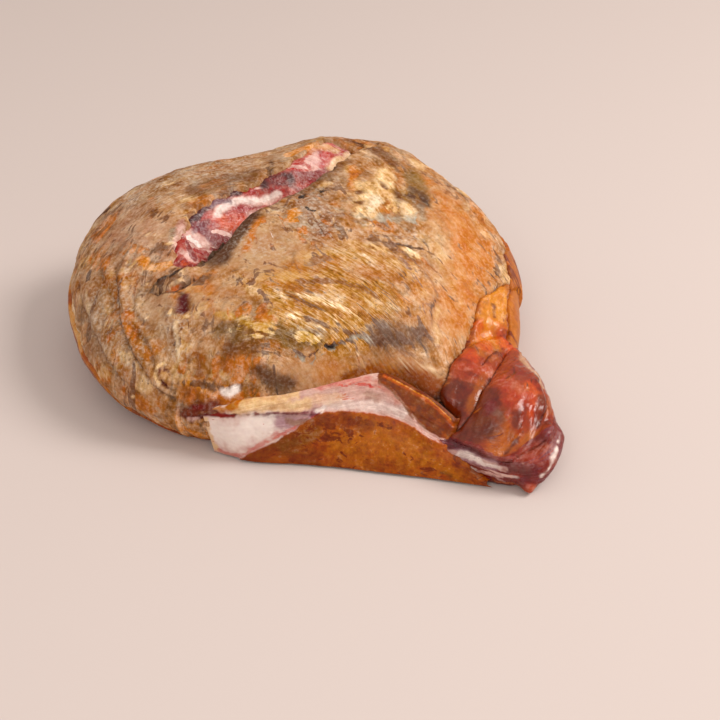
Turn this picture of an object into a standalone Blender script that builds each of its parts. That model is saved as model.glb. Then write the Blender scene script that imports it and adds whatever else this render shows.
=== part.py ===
"""A boned dry-cured ham lying on its rind, as one solid.

The leg is a flattened ball of meat. The thigh bone has been taken out through a long opening in
its top, a flap of rind and fat stands up along its front, and the shank end at +X has its skin
folded over it.

Tables are in millimetres and the scene is in metres, +Z up. +X runs along the leg to the shank,
and +Y to the thick side. The origin is on the surface that the ham lies on, under the middle of
its bounding box.
"""

import bmesh
import bpy
import numpy as np

MM = 0.001
CENTRE = np.array([13.1, 22.5])  # middle of the bounding box, in the tables' coordinates

# The leg from above, round LEG: azimuth in degrees, radius, height of the widest point, and how
# far the underside draws in below it.
LEG = np.array([-10.0, 15.0])
OUTLINE = (
    (-11, 233, 20, 8),
    (-21, 236, 18, 10),
    (-27, 198, 18, 12),
    (-37, 150, 20, 16),
    (-58, 132, 22, 18),
    (-84, 140, 24, 20),
    (-102, 157, 26, 24),
    (-120, 169, 30, 38),
    (-138, 176, 36, 50),
    (-158, 184, 48, 58),
    (-174, 187, 56, 56),
    (168, 175, 58, 54),
    (148, 154, 60, 50),
    (116, 155, 58, 50),
    (92, 168, 50, 48),
    (66, 169, 44, 46),
    (46, 170, 36, 42),
    (26, 164, 30, 36),
    (9, 172, 28, 26),
    (-3, 204, 24, 14),
)

# Places that the top passes through, before the opening and the creases are pressed into it.
TOP = (
    (-60, -48, 99), (-52, -11, 110), (-46, 24, 115), (-29, 69, 119), (-22, 112, 120),
    (-104, -34, 102), (-104, 8, 108), (-84, 52, 113), (-66, 100, 117),
    (-168, 16, 96), (-133, 60, 107), (-105, 80, 110), (-84, 106, 112), (-63, 130, 117),
    (-41, 139, 117), (-10, 154, 111), (27, 150, 100), (63, 147, 87), (84, 140, 74),
    (6, -23, 108), (30, 9, 107), (52, 47, 100), (77, 82, 88), (20, 100, 110),
    (32, -70, 91), (61, -48, 87), (88, -24, 80), (107, 3, 70), (118, 60, 58),
    (44, -91, 66), (69, -64, 62), (98, -43, 58), (-20, -90, 92), (-10, -122, 56),
    (-159, -42, 80), (-100, -88, 80), (-60, -112, 76), (-125, -50, 94),
    (128, 20, 54), (140, -20, 51), (158, -50, 44), (168, -20, 58), (190, -34, 50), (205, -50, 34),
)  # fmt: skip
SHOULDER_POWER = 5.0  # how far out the top stays level before it turns down to the rim
SHOULDER_LAST = 0.93  # places further out than this share of the outline count as being here
PLATE_UNIT = 100.0
STIFFNESS = 0.01  # of the plate bent through those places: 0 passes exactly through each
UNDERSIDE_POWER = 1.2  # 1 is a quarter ellipse, 2 a straight slope
RIM_AT = 0.62  # share of the way from the top pole to the bottom one at which the rim is
FLAT_AT = 0.82  # and at which the flat underside starts

# The bone's opening: along its crest, the place, the depth behind it and the width across.
OPENING = (
    (-62, -54, 4, 22),
    (-54, -38, 13, 44),
    (-53, -11, 26, 50),
    (-52, 11, 27, 48),
    (-40, 37, 22, 50),
    (-30, 69, 16, 42),
    (-26, 106, 14, 42),
    (-20, 129, 10, 36),
    (-10, 146, 3, 22),
)
OPENING_STEEP_SHARE = 0.28  # share of the width taken by the steep side under the crest

# Creases pressed into the leg, each with its depth and its width: the two beside the folds of
# skin on the shank, and the one that the flap stands in front of.
CREASE_ABOVE = 8.0  # a crease starts at this height, and has its whole depth CREASE_RISE above it
CREASE_RISE = 20.0
CREASES = (
    (((126, -52), (121, -28), (123, -4), (137, 26), (153, 43)), 7, 6),
    (((142, -66), (152, -56), (158, -34), (161, -6), (158, 20), (155, 44)), 8, 6),
    (((34, -104), (60, -80), (92, -52), (116, -47), (140, -52)), 15, 7),
)

# The flap of rind and fat along the front, from its loose end at -X to the shank.
FLAP_FOOT = ((-22, -126, 1), (4, -128, 1), (54, -112, 1), (94, -98, 1), (136, -85, 1), (166, -74, 2))
FLAP_TOP = ((-20, -128, 41), (10, -118, 48), (47, -98, 53), (91, -61, 58), (129, -57, 47), (156, -60, 28))
FLAP_BULGE = 5.0  # how far it bellies out between foot and top
FLAP_THICK = (9.0, 5.0)  # at the top edge, from the loose end to the shank
FLAP_INWARD = np.array([0.25, 0.97, 0.0])  # from its outside to the leg
FLAP_FOOT_THICK = 34.0  # at the foot, where it runs into the leg
FLAP_FOOT_POWER = 1.5  # how soon above the foot it thins

BODY_CUTS = 40
FLAP_CELLS = (60, 12)
VOXEL = 2.4 * MM
KEEP = 0.08  # share of the fine skin's triangles
REST = 0.6 * MM  # what is this low lies on the surface

DRY_MEAT = (0.36, 0.20, 0.10, 1.0)


def hermite(at, value, where):
    """Smooth curve through the values, each slope taken from the two neighbours."""
    slope = np.gradient(value, at, axis=0)
    i = np.clip(np.searchsorted(at, where, side="right") - 1, 0, len(at) - 2)
    span = at[i + 1] - at[i]
    t = np.clip((where - at[i]) / span, 0, 1)
    if value.ndim > 1:
        span, t = span[..., None], t[..., None]
    rise = (1 + 2 * t) * (1 - t) ** 2 * value[i] + t**2 * (3 - 2 * t) * value[i + 1]
    return rise + t * (1 - t) * span * ((1 - t) * slope[i] - t * slope[i + 1])


def outline(degrees):
    """Radius, rim height and undercut of the leg at each azimuth."""
    rows = np.array(sorted((row[0] % 360, *row[1:]) for row in OUTLINE), float)
    rows = np.concatenate([rows[-2:] - (360, 0, 0, 0), rows, rows[:2] + (360, 0, 0, 0)])
    return hermite(rows[:, 0], rows[:, 1:], np.mod(degrees, 360)).T


def through(points, count=240):
    """Evenly counted points on a smooth curve through the given ones."""
    points = np.array(points, float)
    steps = np.linalg.norm(np.diff(points[:, :2], axis=0), axis=1)
    at = np.concatenate([[0], np.cumsum(steps)])
    return hermite(at, points, np.linspace(0, at[-1], count))


def nearest(path, place):
    """Signed distance to the path, positive on its left, and the index of the nearest point."""
    away = place[:, None, :2] - path[None, :, :2]
    index = np.argmin((away**2).sum(2), axis=1)
    along = np.gradient(path[:, :2], axis=0)[index]
    along /= np.linalg.norm(along, axis=1)[:, None]
    gap = place[:, :2] - path[index, :2]
    side = along[:, 0] * gap[:, 1] - along[:, 1] * gap[:, 0]
    return np.sign(side) * np.linalg.norm(gap, axis=1), index


def smooth(value):
    value = np.clip(value, 0, 1)
    return value * value * (3 - 2 * value)


def polar(place):
    away = place[:, :2] - LEG
    return np.degrees(np.arctan2(away[:, 1], away[:, 0])), np.linalg.norm(away, axis=1)


def shoulder(share):
    return np.sqrt(np.clip(1 - share**SHOULDER_POWER, 0, 1))


def bend(distance):
    """Kernel of the thin plate that is bent through the places of TOP."""
    return distance**2 * np.log(np.maximum(distance, 1e-6))


def ceiling():
    """Function that gives the height to which the top would rise without its shoulder."""
    places = np.array(TOP, float)
    azimuth, radius = polar(places)
    limit, rim, _ = outline(azimuth)
    target = rim + (places[:, 2] - rim) / shoulder(np.minimum(radius / limit, SHOULDER_LAST))

    def terms(place):
        gap = np.linalg.norm(place[:, None, :2] - places[None, :, :2], axis=2)
        return bend(gap / PLATE_UNIT), np.column_stack([np.ones(len(place)), place[:, :2] / PLATE_UNIT])

    bent, plane = terms(places)
    bent += STIFFNESS * np.eye(len(places))
    system = np.block([[bent, plane], [plane.T, np.zeros((3, 3))]])
    weights = np.linalg.solve(system, np.concatenate([target, np.zeros(3)]))

    def height(place):
        bent, plane = terms(place)
        return bent @ weights[:-3] + plane @ weights[-3:]

    return height


def press_opening(points):
    path = through(OPENING)
    gap, index = nearest(path, points)
    across = gap / path[index, 3]
    steep = smooth(across / OPENING_STEEP_SHARE)
    gentle = smooth((1 - across) / (1 - OPENING_STEEP_SHARE))
    ends = np.linalg.norm(points[:, :2] - path[index, :2], axis=1) - np.abs(gap)
    points[:, 2] -= path[index, 2] * steep * gentle * (ends < 1)


def press_creases(points):
    for line, depth, width in CREASES:
        gap, _ = nearest(through(line), points)
        points[:, 2] -= depth * np.exp(-((gap / width) ** 2)) * smooth((points[:, 2] - CREASE_ABOVE) / CREASE_RISE)


def shape_leg(sphere):
    """Places of the leg's surface for points on a unit sphere."""
    azimuth = np.degrees(np.arctan2(sphere[:, 1], sphere[:, 0]))
    tilt = np.arccos(np.clip(sphere[:, 2], -1, 1)) / np.pi
    limit, rim, tuck = outline(azimuth)
    upper = np.clip(tilt / RIM_AT, 0, 1) * np.pi / 2
    lower = np.clip((tilt - RIM_AT) / (FLAT_AT - RIM_AT), 0, 1) * np.pi / 2
    flat = np.clip((tilt - FLAT_AT) / (1 - FLAT_AT), 0, 1) * np.pi / 2
    share = np.sin(upper)
    radius = limit * share - tuck * (1 - np.cos(lower) ** UNDERSIDE_POWER)
    radius *= np.cos(flat)
    turn = np.radians(azimuth)
    points = np.column_stack([radius * np.cos(turn), radius * np.sin(turn), np.zeros(len(turn))])
    points[:, :2] += LEG
    top = ceiling()(points)
    points[:, 2] = rim + (top - rim) * shoulder(share)
    under = lower > 0
    points[under, 2] = (rim * (1 - np.sin(lower) ** UNDERSIDE_POWER))[under]
    above = ~under
    pressed = points[above]
    press_opening(pressed)
    press_creases(pressed)
    points[above] = pressed
    return points


def shape_flap(share_along, share_up, back):
    """Places of the flap: its outside where back is 0, and its inside where back is 1."""
    foot = through(FLAP_FOOT)
    top = through(FLAP_TOP)
    at = np.linspace(0, 1, len(foot))
    low = hermite(at, foot, share_along)
    high = hermite(at, top, share_along)
    belly = FLAP_BULGE * 4 * share_up * (1 - share_up)
    thick = np.interp(share_along, (0, 1), FLAP_THICK)
    thick = thick + (FLAP_FOOT_THICK - thick) * (1 - share_up) ** FLAP_FOOT_POWER
    points = low + (high - low) * share_up[:, None]
    return points + FLAP_INWARD * (back * thick - (1 - back) * belly)[:, None]


def new_object(name, work):
    mesh = bpy.data.meshes.new(name)
    work.to_mesh(mesh)
    work.free()
    made = bpy.data.objects.new(name, mesh)
    bpy.context.scene.collection.objects.link(made)
    return made


def set_places(work, places):
    for vertex, place in zip(work.verts, places):
        vertex.co = ((place[0] - CENTRE[0]) * MM, (place[1] - CENTRE[1]) * MM, place[2] * MM)


def leg():
    work = bmesh.new()
    bmesh.ops.create_cube(work, size=2)
    bmesh.ops.subdivide_edges(work, edges=work.edges[:], cuts=BODY_CUTS, use_grid_fill=True)
    cube = np.array([vertex.co[:] for vertex in work.verts])
    sphere = np.tan(cube * np.pi / 4)
    sphere /= np.linalg.norm(sphere, axis=1)[:, None]
    set_places(work, shape_leg(sphere))
    return new_object("leg", work)


def flap():
    work = bmesh.new()
    bmesh.ops.create_grid(work, x_segments=FLAP_CELLS[0], y_segments=FLAP_CELLS[1], size=0.5)
    outside = set(work.verts)
    bmesh.ops.extrude_face_region(work, geom=work.faces[:], use_keep_orig=True)
    grid = np.array([vertex.co[:] for vertex in work.verts])
    back = np.array([0.0 if vertex in outside else 1.0 for vertex in work.verts])
    set_places(work, shape_flap(grid[:, 0] + 0.5, grid[:, 1] + 0.5, back))
    bmesh.ops.recalc_face_normals(work, faces=work.faces[:])
    return new_object("flap", work)


def material():
    made = bpy.data.materials.new("dry-cured meat and rind")
    made.use_nodes = True
    shader = made.node_tree.nodes["Principled BSDF"]
    shader.inputs["Base Color"].default_value = DRY_MEAT
    shader.inputs["Roughness"].default_value = 0.55
    return made


def add_modifier(made, name, kind, **settings):
    modifier = made.modifiers.new(name, kind)
    for key, value in settings.items():
        setattr(modifier, key, value)


def settle(made):
    """Makes the modifiers' result the mesh, with its underside exactly flat."""
    evaluated = made.evaluated_get(bpy.context.evaluated_depsgraph_get())
    made.data = bpy.data.meshes.new_from_object(evaluated)
    made.modifiers.clear()
    work = bmesh.new()
    work.from_mesh(made.data)
    for vertex in work.verts:
        if vertex.co.z < REST:
            vertex.co.z = 0.0
    bmesh.ops.dissolve_degenerate(work, dist=0.1 * MM, edges=work.edges[:])
    bmesh.ops.triangulate(work, faces=work.faces[:])
    work.to_mesh(made.data)
    work.free()
    made.data.shade_smooth()


def build():
    for old in list(bpy.data.objects):
        bpy.data.objects.remove(old, do_unlink=True)
    ham = leg()
    ham.name = "ham"
    sheet = flap()
    add_modifier(ham, "flap", "BOOLEAN", operation="UNION", object=sheet, solver="EXACT")
    add_modifier(ham, "one skin", "REMESH", mode="VOXEL", voxel_size=VOXEL)
    add_modifier(ham, "ease", "SMOOTH", factor=0.5, iterations=3)
    add_modifier(ham, "lighten", "DECIMATE", ratio=KEEP)
    bpy.context.view_layer.update()
    settle(ham)
    bpy.data.objects.remove(sheet, do_unlink=True)
    ham.data.materials.append(material())


build()
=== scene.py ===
import math
from functools import partial

import bmesh
import bpy
import numpy as np
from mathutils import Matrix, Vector, noise


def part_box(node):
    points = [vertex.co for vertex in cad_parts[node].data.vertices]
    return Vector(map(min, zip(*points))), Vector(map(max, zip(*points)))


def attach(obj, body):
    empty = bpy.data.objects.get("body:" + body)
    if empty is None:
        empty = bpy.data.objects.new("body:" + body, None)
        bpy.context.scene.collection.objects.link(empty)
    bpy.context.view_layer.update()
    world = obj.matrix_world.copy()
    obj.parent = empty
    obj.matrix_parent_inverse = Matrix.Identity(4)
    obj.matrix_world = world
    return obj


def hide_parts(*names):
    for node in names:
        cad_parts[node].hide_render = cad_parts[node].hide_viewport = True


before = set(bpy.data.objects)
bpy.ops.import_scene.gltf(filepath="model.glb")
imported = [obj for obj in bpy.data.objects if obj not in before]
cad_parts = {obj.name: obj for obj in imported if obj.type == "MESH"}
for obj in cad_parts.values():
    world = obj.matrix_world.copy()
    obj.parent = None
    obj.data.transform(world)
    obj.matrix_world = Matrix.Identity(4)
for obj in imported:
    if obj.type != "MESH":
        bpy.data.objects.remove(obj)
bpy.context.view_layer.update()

cadLow, cadHigh = (np.array(corner) * 1000 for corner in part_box("ham"))
print("frame loaded, ham box in mm", cadLow.round(1), cadHigh.round(1))

# Places are in millimetres, x along the leg to the shank, y to the thick side, z up.
# tableMiddle is the middle of the ham's box as these tables have it.
tableMiddle = np.array([13.1, 22.5, 0.0])


def hexColour(text):
    values = [int(text[i:i + 2], 16) / 255 for i in (1, 3, 5)]
    return tuple(v / 12.92 if v <= 0.04045 else ((v + 0.055) / 1.055) ** 2.4 for v in values) + (1.0,)


def smooth(value):
    value = np.clip(value, 0, 1)
    return value * value * (3 - 2 * value)


def hermite(at, value, where):
    slope = np.gradient(value, at, axis=0)
    i = np.clip(np.searchsorted(at, where, side="right") - 1, 0, len(at) - 2)
    span = at[i + 1] - at[i]
    t = np.clip((where - at[i]) / span, 0, 1)
    if value.ndim > 1:
        span, t = span[..., None], t[..., None]
    rise = (1 + 2 * t) * (1 - t) ** 2 * value[i] + t**2 * (3 - 2 * t) * value[i + 1]
    return rise + t * (1 - t) * span * ((1 - t) * slope[i] - t * slope[i + 1])


def through(points, count=120):
    # evenly counted points on a smooth curve through the given ones
    points = np.array(points, float)
    if len(points) == 1:
        return points
    steps = np.linalg.norm(np.diff(points[:, :3], axis=0), axis=1)
    at = np.concatenate([[0], np.cumsum(steps)])
    return hermite(at, points, np.linspace(0, at[-1], count))


def nearest(path, places, dims=3):
    # distance to the path, and the index of the nearest of its points, for one chunk of places after another
    chunk = 8192
    gap = np.empty(len(places))
    index = np.empty(len(places), int)
    for start in range(0, len(places), chunk):
        part = slice(start, start + chunk)
        away = ((places[part, None, :dims] - path[None, :, :dims]) ** 2).sum(2)
        index[part] = away.argmin(1)
        gap[part] = np.sqrt(away.min(1))
    return gap, index


def gapTo(path, places, reach):
    # distance to the path, worked out only for places within reach of it
    farAway = 1000.0
    gap = np.full(len(places), farAway)
    low, high = path[:, :3].min(0) - reach, path[:, :3].max(0) + reach
    near = np.flatnonzero(((places > low) & (places < high)).all(1))
    if len(near):
        gap[near] = nearest(path, places[near])[0]
    return gap


def leftOf(path, index, places):
    # 1 on the left of the path seen from above, -1 on its right
    along = np.gradient(path[:, :2], axis=0)[index]
    gap = places[:, :2] - path[index, :2]
    return np.where(along[:, 0] * gap[:, 1] - along[:, 1] * gap[:, 0] > 0, 1.0, -1.0)


def cloud(places, size, octaves=3, shift=0.0):
    # fractal noise, about -1 to 1, with features of this size
    return np.array([noise.fractal(p, 1.0, 2.0, octaves) for p in (places / size + shift).tolist()])


def uneven(places, layers):
    # clouds added up: height, size of the features, octaves, shift
    return sum(height * cloud(places, size, octaves, shift) for height, size, octaves, shift in layers)


def normalsOf(work):
    work.normal_update()
    return np.array([v.normal[:] for v in work.verts])


def placesOf(work):
    return np.array([v.co[:] for v in work.verts])


def setPlaces(work, places):
    for vertex, place in zip(work.verts, places.tolist()):
        vertex.co = place


def sheet(cells):
    # a flat grid, and how far each of its points lies across and up it, from 0 to 1
    work = bmesh.new()
    bmesh.ops.create_grid(work, x_segments=cells[0], y_segments=cells[1], size=0.5)
    return work, placesOf(work)[:, :2] + 0.5


def faceOutward(work, way):
    if (normalsOf(work) @ np.array(way)).mean() < 0:
        bmesh.ops.reverse_faces(work, faces=work.faces[:])


def link(name, data):
    made = bpy.data.objects.new(name, data)
    bpy.context.scene.collection.objects.link(made)
    return made


def finishPiece(name, work, material):
    # from millimetres in the tables' frame to metres in the scene's
    setPlaces(work, (placesOf(work) - tableMiddle) / 1000)
    mesh = bpy.data.meshes.new(name)
    work.to_mesh(mesh)
    work.free()
    piece = link(name, mesh)
    mesh.materials.append(material)
    mesh.shade_smooth()
    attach(piece, "root")
    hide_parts("ham")
    print("made", name, len(mesh.polygons), "faces")
    return piece


def setAttribute(piece, name, values):
    values = np.asarray(values, float)
    kind = "FLOAT_COLOR" if values.ndim == 2 else "FLOAT"
    layer = piece.data.attributes.new(name, kind, "POINT")
    layer.data.foreach_set("color" if values.ndim == 2 else "value", values.astype(np.float32).ravel())


# painting: strokes of colour along paths, with ragged edges
palette = {
    # dried crust; umber and darkUmber also serve as painted shade in creases and on the opening's near wall
    "tan": "#BC8E68", "greyTan": "#AE8A6C", "beige": "#BC9470", "pinkTan": "#BE957A",
    "peach": "#CA8E5E", "orange": "#C07840", "paleOrange": "#D08C50", "rust": "#A8652F",
    "gold": "#C6945C", "brightGold": "#CEA262", "cream": "#E0B888", "paleCream": "#E6C8A4",
    "olive": "#8E6C42", "darkOlive": "#6E4E2C", "brown": "#95643E", "umber": "#7C5438",
    "darkUmber": "#573826",
    # mould and stains; black also serves as painted shade in creases and pockets, and the last colour here is
    # painted shade only, for the opening's near wall
    "mauve": "#94705E", "darkMauve": "#6E5040", "mouldGrey": "#A79A88", "mouldWhite": "#D5CBBE",
    "black": "#2E2320", "nearWallShade": "#2C1A12",
    # meat and fat; the dark red-brown after mauvePink is painted shade only, for the hollows of the opening
    "lean": "#A44A42", "cutLean": "#74302C", "rose": "#C46A60", "deepRed": "#7C2A28",
    "brownRed": "#6E2C18", "maroon": "#571C1C", "purple": "#6E3238", "darkLilac": "#6E5058",
    "mauvePink": "#B08A90", "hollowShade": "#3C1418", "fat": "#E8D6CE", "whiteFat": "#F0E0D8",
    "meatFat": "#D2A79C", "pinkFat": "#CBA49A", "creamFat": "#DCB892",
    # rind
    "rind": "#A04A0C", "rindDark": "#74300C", "rindPale": "#B0641E", "rindRed": "#7E3A16",
    "dull": "#7E5A3C", "webBrown": "#74330A", "wetRust": "#86400E",
    # skin of the shank; skinDark also serves as painted shade in its creases and on the crust beside it, and
    # skinRose as painted sheen on it
    "skinRed": "#8E3316", "skinOrange": "#A85416", "skinDark": "#56190E", "skinRose": "#B86A58",
    "coral": "#C4512C", "hotOrange": "#AE5220",
}


brush = dict(
    # how far a stroke's edge strays in wide and fine waves, by its width, and at the least in millimetres
    wideStray=0.36, fineStray=0.18, leastStray=0.72, wideWaves=16.0, fineWaves=4.0,
    # the curve's points, how far paint reaches by the width, and from what width a stroke counts as broad
    points=60, reach=1.6, broad=5, broadShare=0.78,
)


def wander(places, seed):
    # how far each place strays, so that painted edges come out ragged
    wide = np.column_stack([cloud(places, brush["wideWaves"], 2, seed + k * 7.7) for k in range(3)])
    fine = np.column_stack([cloud(places, brush["fineWaves"], 2, seed + 31 + k * 5.3) for k in range(3)])
    return wide, fine


def strokeMask(places, stray, path, width):
    wide, fine = stray
    bent = places + brush["wideStray"] * width * wide
    bent += (brush["fineStray"] * width + brush["leastStray"]) * fine
    gap = gapTo(through(path, brush["points"]), bent, width * brush["reach"]) / width
    # broad strokes keep a full middle, narrow ones fade from their line
    return smooth(1.35 - gap) if width > brush["broad"] else smooth(1.6 - 1.2 * gap)


def tint(colour, name, mask):
    # changes the colour in place, wholly where the mask is 1
    colour += (np.array(hexColour(palette[name])) - colour) * mask[:, None]


def blend(under, over, part):
    # ground, figure and share of one painting laid over another's
    return [p + (o - p) * (part[:, None] if p.ndim == 2 else part) for p, o in zip(under, over)]


def randomTones(places, colour, tones):
    # patches laid by chance: colour, patch size, how much of the surface, strength, seed
    for name, size, share, strength, seed in tones:
        mask = smooth((cloud(places, size, 4, seed) - 0.35 + share) / 0.2) * strength
        tint(colour, name, mask)


def cover(colours, places, stray, strokes):
    # lays each stroke's colour over all the colours given
    for name, width, strength, path in strokes:
        mask = strokeMask(places, stray, laidOn(path, places), width) * strength
        for colour in colours:
            tint(colour, name, mask)


def paint(places, stray, look):
    # the ground colour, the colour of the figure broken over it, and the figure's share;
    # a stroke holds its colour, width, strength and path, and solids and marks cover ground and figure
    ground = np.tile(np.array(hexColour(palette[look["base"]])), (len(places), 1))
    figure = np.tile(np.array(hexColour(palette[look["fleck"]])), (len(places), 1))
    share = look["share"] + 0.2 * cloud(places, 24.0, 3, 40.0)
    randomTones(places, ground, look.get("groundTones", ()))
    randomTones(places, figure, look.get("figureTones", ()))
    cover((ground,), places, stray, look.get("grounds", ()))
    cover((ground, figure), places, stray, look.get("solids", ()))
    for name, width, strength, path in look.get("strokes", ()):
        mask = strokeMask(places, stray, laidOn(path, places), width)
        strength *= brush["broadShare"] if width > brush["broad"] else 1
        tint(figure, name, np.minimum(1.4 * mask, 1))
        share += (strength - share) * mask
    cover((ground, figure), places, stray, look.get("marks", ()))
    return ground, figure, np.clip(share, 0, 1)


def setLook(piece, painted, fibres, fibre, wet, bloom, lively=1.0):
    # fibre: how streaky; wet: how glossy; bloom: how much mould or fat; lively: how strongly it is mottled
    ground, figure, share = painted
    setAttribute(piece, "ground", ground)
    setAttribute(piece, "figure", figure)
    full = np.ones(len(share))
    setAttribute(piece, "finish", np.column_stack([fibre * full, wet * full, bloom * full, lively * full]))
    setAttribute(piece, "share", share)
    setFibres(piece, fibres)


# the leg: a flattened ball with the bone's opening pressed into its top
leg = dict(
    centre=np.array([-10.0, 15.0]),
    # azimuth, radius, height of the widest point, how far the underside draws in
    outline=(
        (-11, 227, 20, 8), (-21, 226, 18, 10), (-27, 190, 18, 12), (-37, 148, 20, 16),
        (-58, 131, 22, 18), (-84, 139, 24, 20), (-102, 157, 26, 24), (-120, 169, 30, 38),
        (-138, 176, 36, 50), (-158, 184, 48, 58), (-174, 187, 56, 56), (168, 175, 58, 54),
        (148, 154, 60, 50), (116, 155, 58, 50), (92, 168, 50, 48), (66, 169, 44, 46),
        (46, 170, 36, 42), (26, 164, 30, 36), (9, 170, 28, 26), (-3, 198, 24, 14),
    ),
    # places that the top passes through before anything is pressed into it
    top=(
        (-60, -48, 99), (-52, -11, 110), (-46, 24, 115), (-29, 69, 119), (-22, 112, 120),
        (-104, -34, 102), (-104, 8, 108), (-84, 52, 113), (-66, 100, 117),
        (-168, 16, 96), (-133, 60, 107), (-105, 80, 110), (-84, 106, 112), (-63, 130, 117),
        (-41, 139, 117), (-10, 154, 111), (27, 150, 100), (63, 147, 87), (84, 140, 74),
        (6, -23, 108), (30, 9, 107), (52, 47, 100), (77, 82, 88), (20, 100, 110),
        (32, -70, 91), (61, -48, 87), (88, -24, 80), (107, 3, 70), (118, 60, 58),
        (44, -91, 66), (69, -64, 62), (98, -43, 58), (-20, -90, 92), (-10, -122, 56),
        (-159, -42, 80), (-100, -88, 80), (-60, -112, 76), (-125, -50, 94),
        (128, 20, 50), (140, -20, 44), (158, -50, 36), (168, -20, 48), (190, -34, 42), (205, -50, 28),
    ),
    # tilts, as shares of a half turn, at which the widest ring and the flat underside begin
    rimAt=0.72, flatAt=0.92,
    # the higher a power is, the rounder the shoulder or the edge below it
    shoulderPower=5.0, undersidePower=1.2,
    # the top is a thin plate bent through its places
    plateUnit=100.0, stiffness=0.01,
)
opening = dict(
    # along its crest: place, depth behind it, width across
    crest=(
        (-62, -54, 4, 30), (-54, -38, 13, 48), (-53, -11, 26, 50), (-52, 11, 27, 48), (-40, 37, 22, 50),
        (-33, 56, 17, 38), (-30, 69, 16, 36), (-26, 106, 14, 36), (-20, 129, 10, 34), (-10, 146, 3, 22),
    ),
    steepShare=0.28,
)
# creases pressed in: path, depth, width
creases = (
    (((34, -104), (60, -80), (92, -52), (116, -47), (140, -52)), 15, 7),
    (((126, -52), (121, -28), (123, -4), (125, 17), (132, 40)), 6, 6),
)


def outlineAt(degrees):
    rows = np.array(sorted((row[0] % 360, *row[1:]) for row in leg["outline"]), float)
    rows = np.concatenate([rows[-2:] - (360, 0, 0, 0), rows, rows[:2] + (360, 0, 0, 0)])
    return hermite(rows[:, 0], rows[:, 1:], np.mod(degrees, 360)).T


def polar(places):
    away = places[:, :2] - leg["centre"]
    return np.degrees(np.arctan2(away[:, 1], away[:, 0])), np.linalg.norm(away, axis=1)


def shoulder(share):
    return np.sqrt(np.clip(1 - share ** leg["shoulderPower"], 0, 1))


def plateTerms(places, marks):
    gap = np.linalg.norm(places[:, None, :2] - marks[None, :, :2], axis=2) / leg["plateUnit"]
    flat = np.column_stack([np.ones(len(places)), places[:, :2] / leg["plateUnit"]])
    return gap**2 * np.log(np.maximum(gap, 1e-6)), flat


def solveCeiling():
    marks = np.array(leg["top"], float)
    azimuth, radius = polar(marks)
    limit, rim, _ = outlineAt(azimuth)
    target = rim + (marks[:, 2] - rim) / shoulder(np.minimum(radius / limit, 0.93))
    bent, flat = plateTerms(marks, marks)
    bent += leg["stiffness"] * np.eye(len(marks))
    system = np.block([[bent, flat], [flat.T, np.zeros((3, 3))]])
    return marks, np.linalg.solve(system, np.concatenate([target, np.zeros(3)]))


ceilingMarks, ceilingWeights = solveCeiling()


def ceilingAt(places):
    bent, flat = plateTerms(places, ceilingMarks)
    return bent @ ceilingWeights[:-3] + flat @ ceilingWeights[-3:]


def openingDrop(places):
    path = through(opening["crest"], 240)
    gap, index = nearest(path, places, 2)
    gap *= leftOf(path, index, places)
    across = gap / path[index, 3]
    steep = smooth(across / opening["steepShare"])
    gentle = smooth((1 - across) / (1 - opening["steepShare"]))
    inside = (index > 0) & (index < len(path) - 1)
    return path[index, 2] * steep * gentle * inside, across


def creaseDrop(places, heights):
    drop = np.zeros(len(places))
    for line, depth, width in creases:
        gap, _ = nearest(through(np.column_stack([line, np.zeros(len(line))])), places, 2)
        drop += depth * np.exp(-((gap / width) ** 2)) * smooth((heights - 8) / 20)
    return drop


def topHeight(places):
    # height of the leg's upper side over each place
    azimuth, radius = polar(places)
    limit, rim, _ = outlineAt(azimuth)
    share = np.minimum(radius / limit, 1)
    height = rim + (ceilingAt(places) - rim) * shoulder(share)
    return height - openingDrop(places)[0] - creaseDrop(places, height)


def ballPlaces(sphere):
    azimuth = np.degrees(np.arctan2(sphere[:, 1], sphere[:, 0]))
    tilt = np.arccos(np.clip(sphere[:, 2], -1, 1)) / math.pi
    limit, rim, tuck = outlineAt(azimuth)
    quarter = math.pi / 2
    upper = np.clip(tilt / leg["rimAt"], 0, 1) * quarter
    lower = np.clip((tilt - leg["rimAt"]) / (leg["flatAt"] - leg["rimAt"]), 0, 1) * quarter
    flat = np.clip((tilt - leg["flatAt"]) / (1 - leg["flatAt"]), 0, 1) * quarter
    radius = limit * np.sin(upper) - tuck * (1 - np.cos(lower) ** leg["undersidePower"])
    radius *= np.cos(flat)
    turn = np.radians(azimuth)
    places = np.column_stack([radius * np.cos(turn), radius * np.sin(turn), np.zeros(len(turn))])
    places[:, :2] += leg["centre"]
    under = lower > 0
    places[under, 2] = (rim * (1 - np.sin(lower) ** leg["undersidePower"]))[under]
    places[~under, 2] = topHeight(places[~under])
    return places


def discBall(cells, most, middle=1.0):
    # points of a square grid laid over the ball, from its top down to this tilt
    work = bmesh.new()
    bmesh.ops.create_grid(work, x_segments=cells, y_segments=cells, size=1)
    flat = placesOf(work)[:, :2]
    x = flat[:, 0] * np.sqrt(1 - flat[:, 1] ** 2 / 2)
    y = flat[:, 1] * np.sqrt(1 - flat[:, 0] ** 2 / 2)
    tilt = np.hypot(x, y) * most * math.pi
    turn = np.arctan2(y, x)
    if middle < 0:
        tilt = math.pi - tilt
        bmesh.ops.reverse_faces(work, faces=work.faces[:])
    return work, np.column_stack([np.sin(tilt) * np.cos(turn), np.sin(tilt) * np.sin(turn), np.cos(tilt)])


def vee(gap, width):
    # profile of two rounded rolls of flesh that meet
    inward = np.clip(1 - gap / width, 0, 1)
    return 1 - np.sqrt(1 - inward**2)


def onTop(path):
    # two-number places are put on the leg's upper side; a path given in whole numbers stays whole
    heights = topHeight(np.array([(*place[:2], 0) for place in path], float))
    return np.array([place if len(place) > 2 else (*place, z) for place, z in zip(path, heights)])


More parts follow.
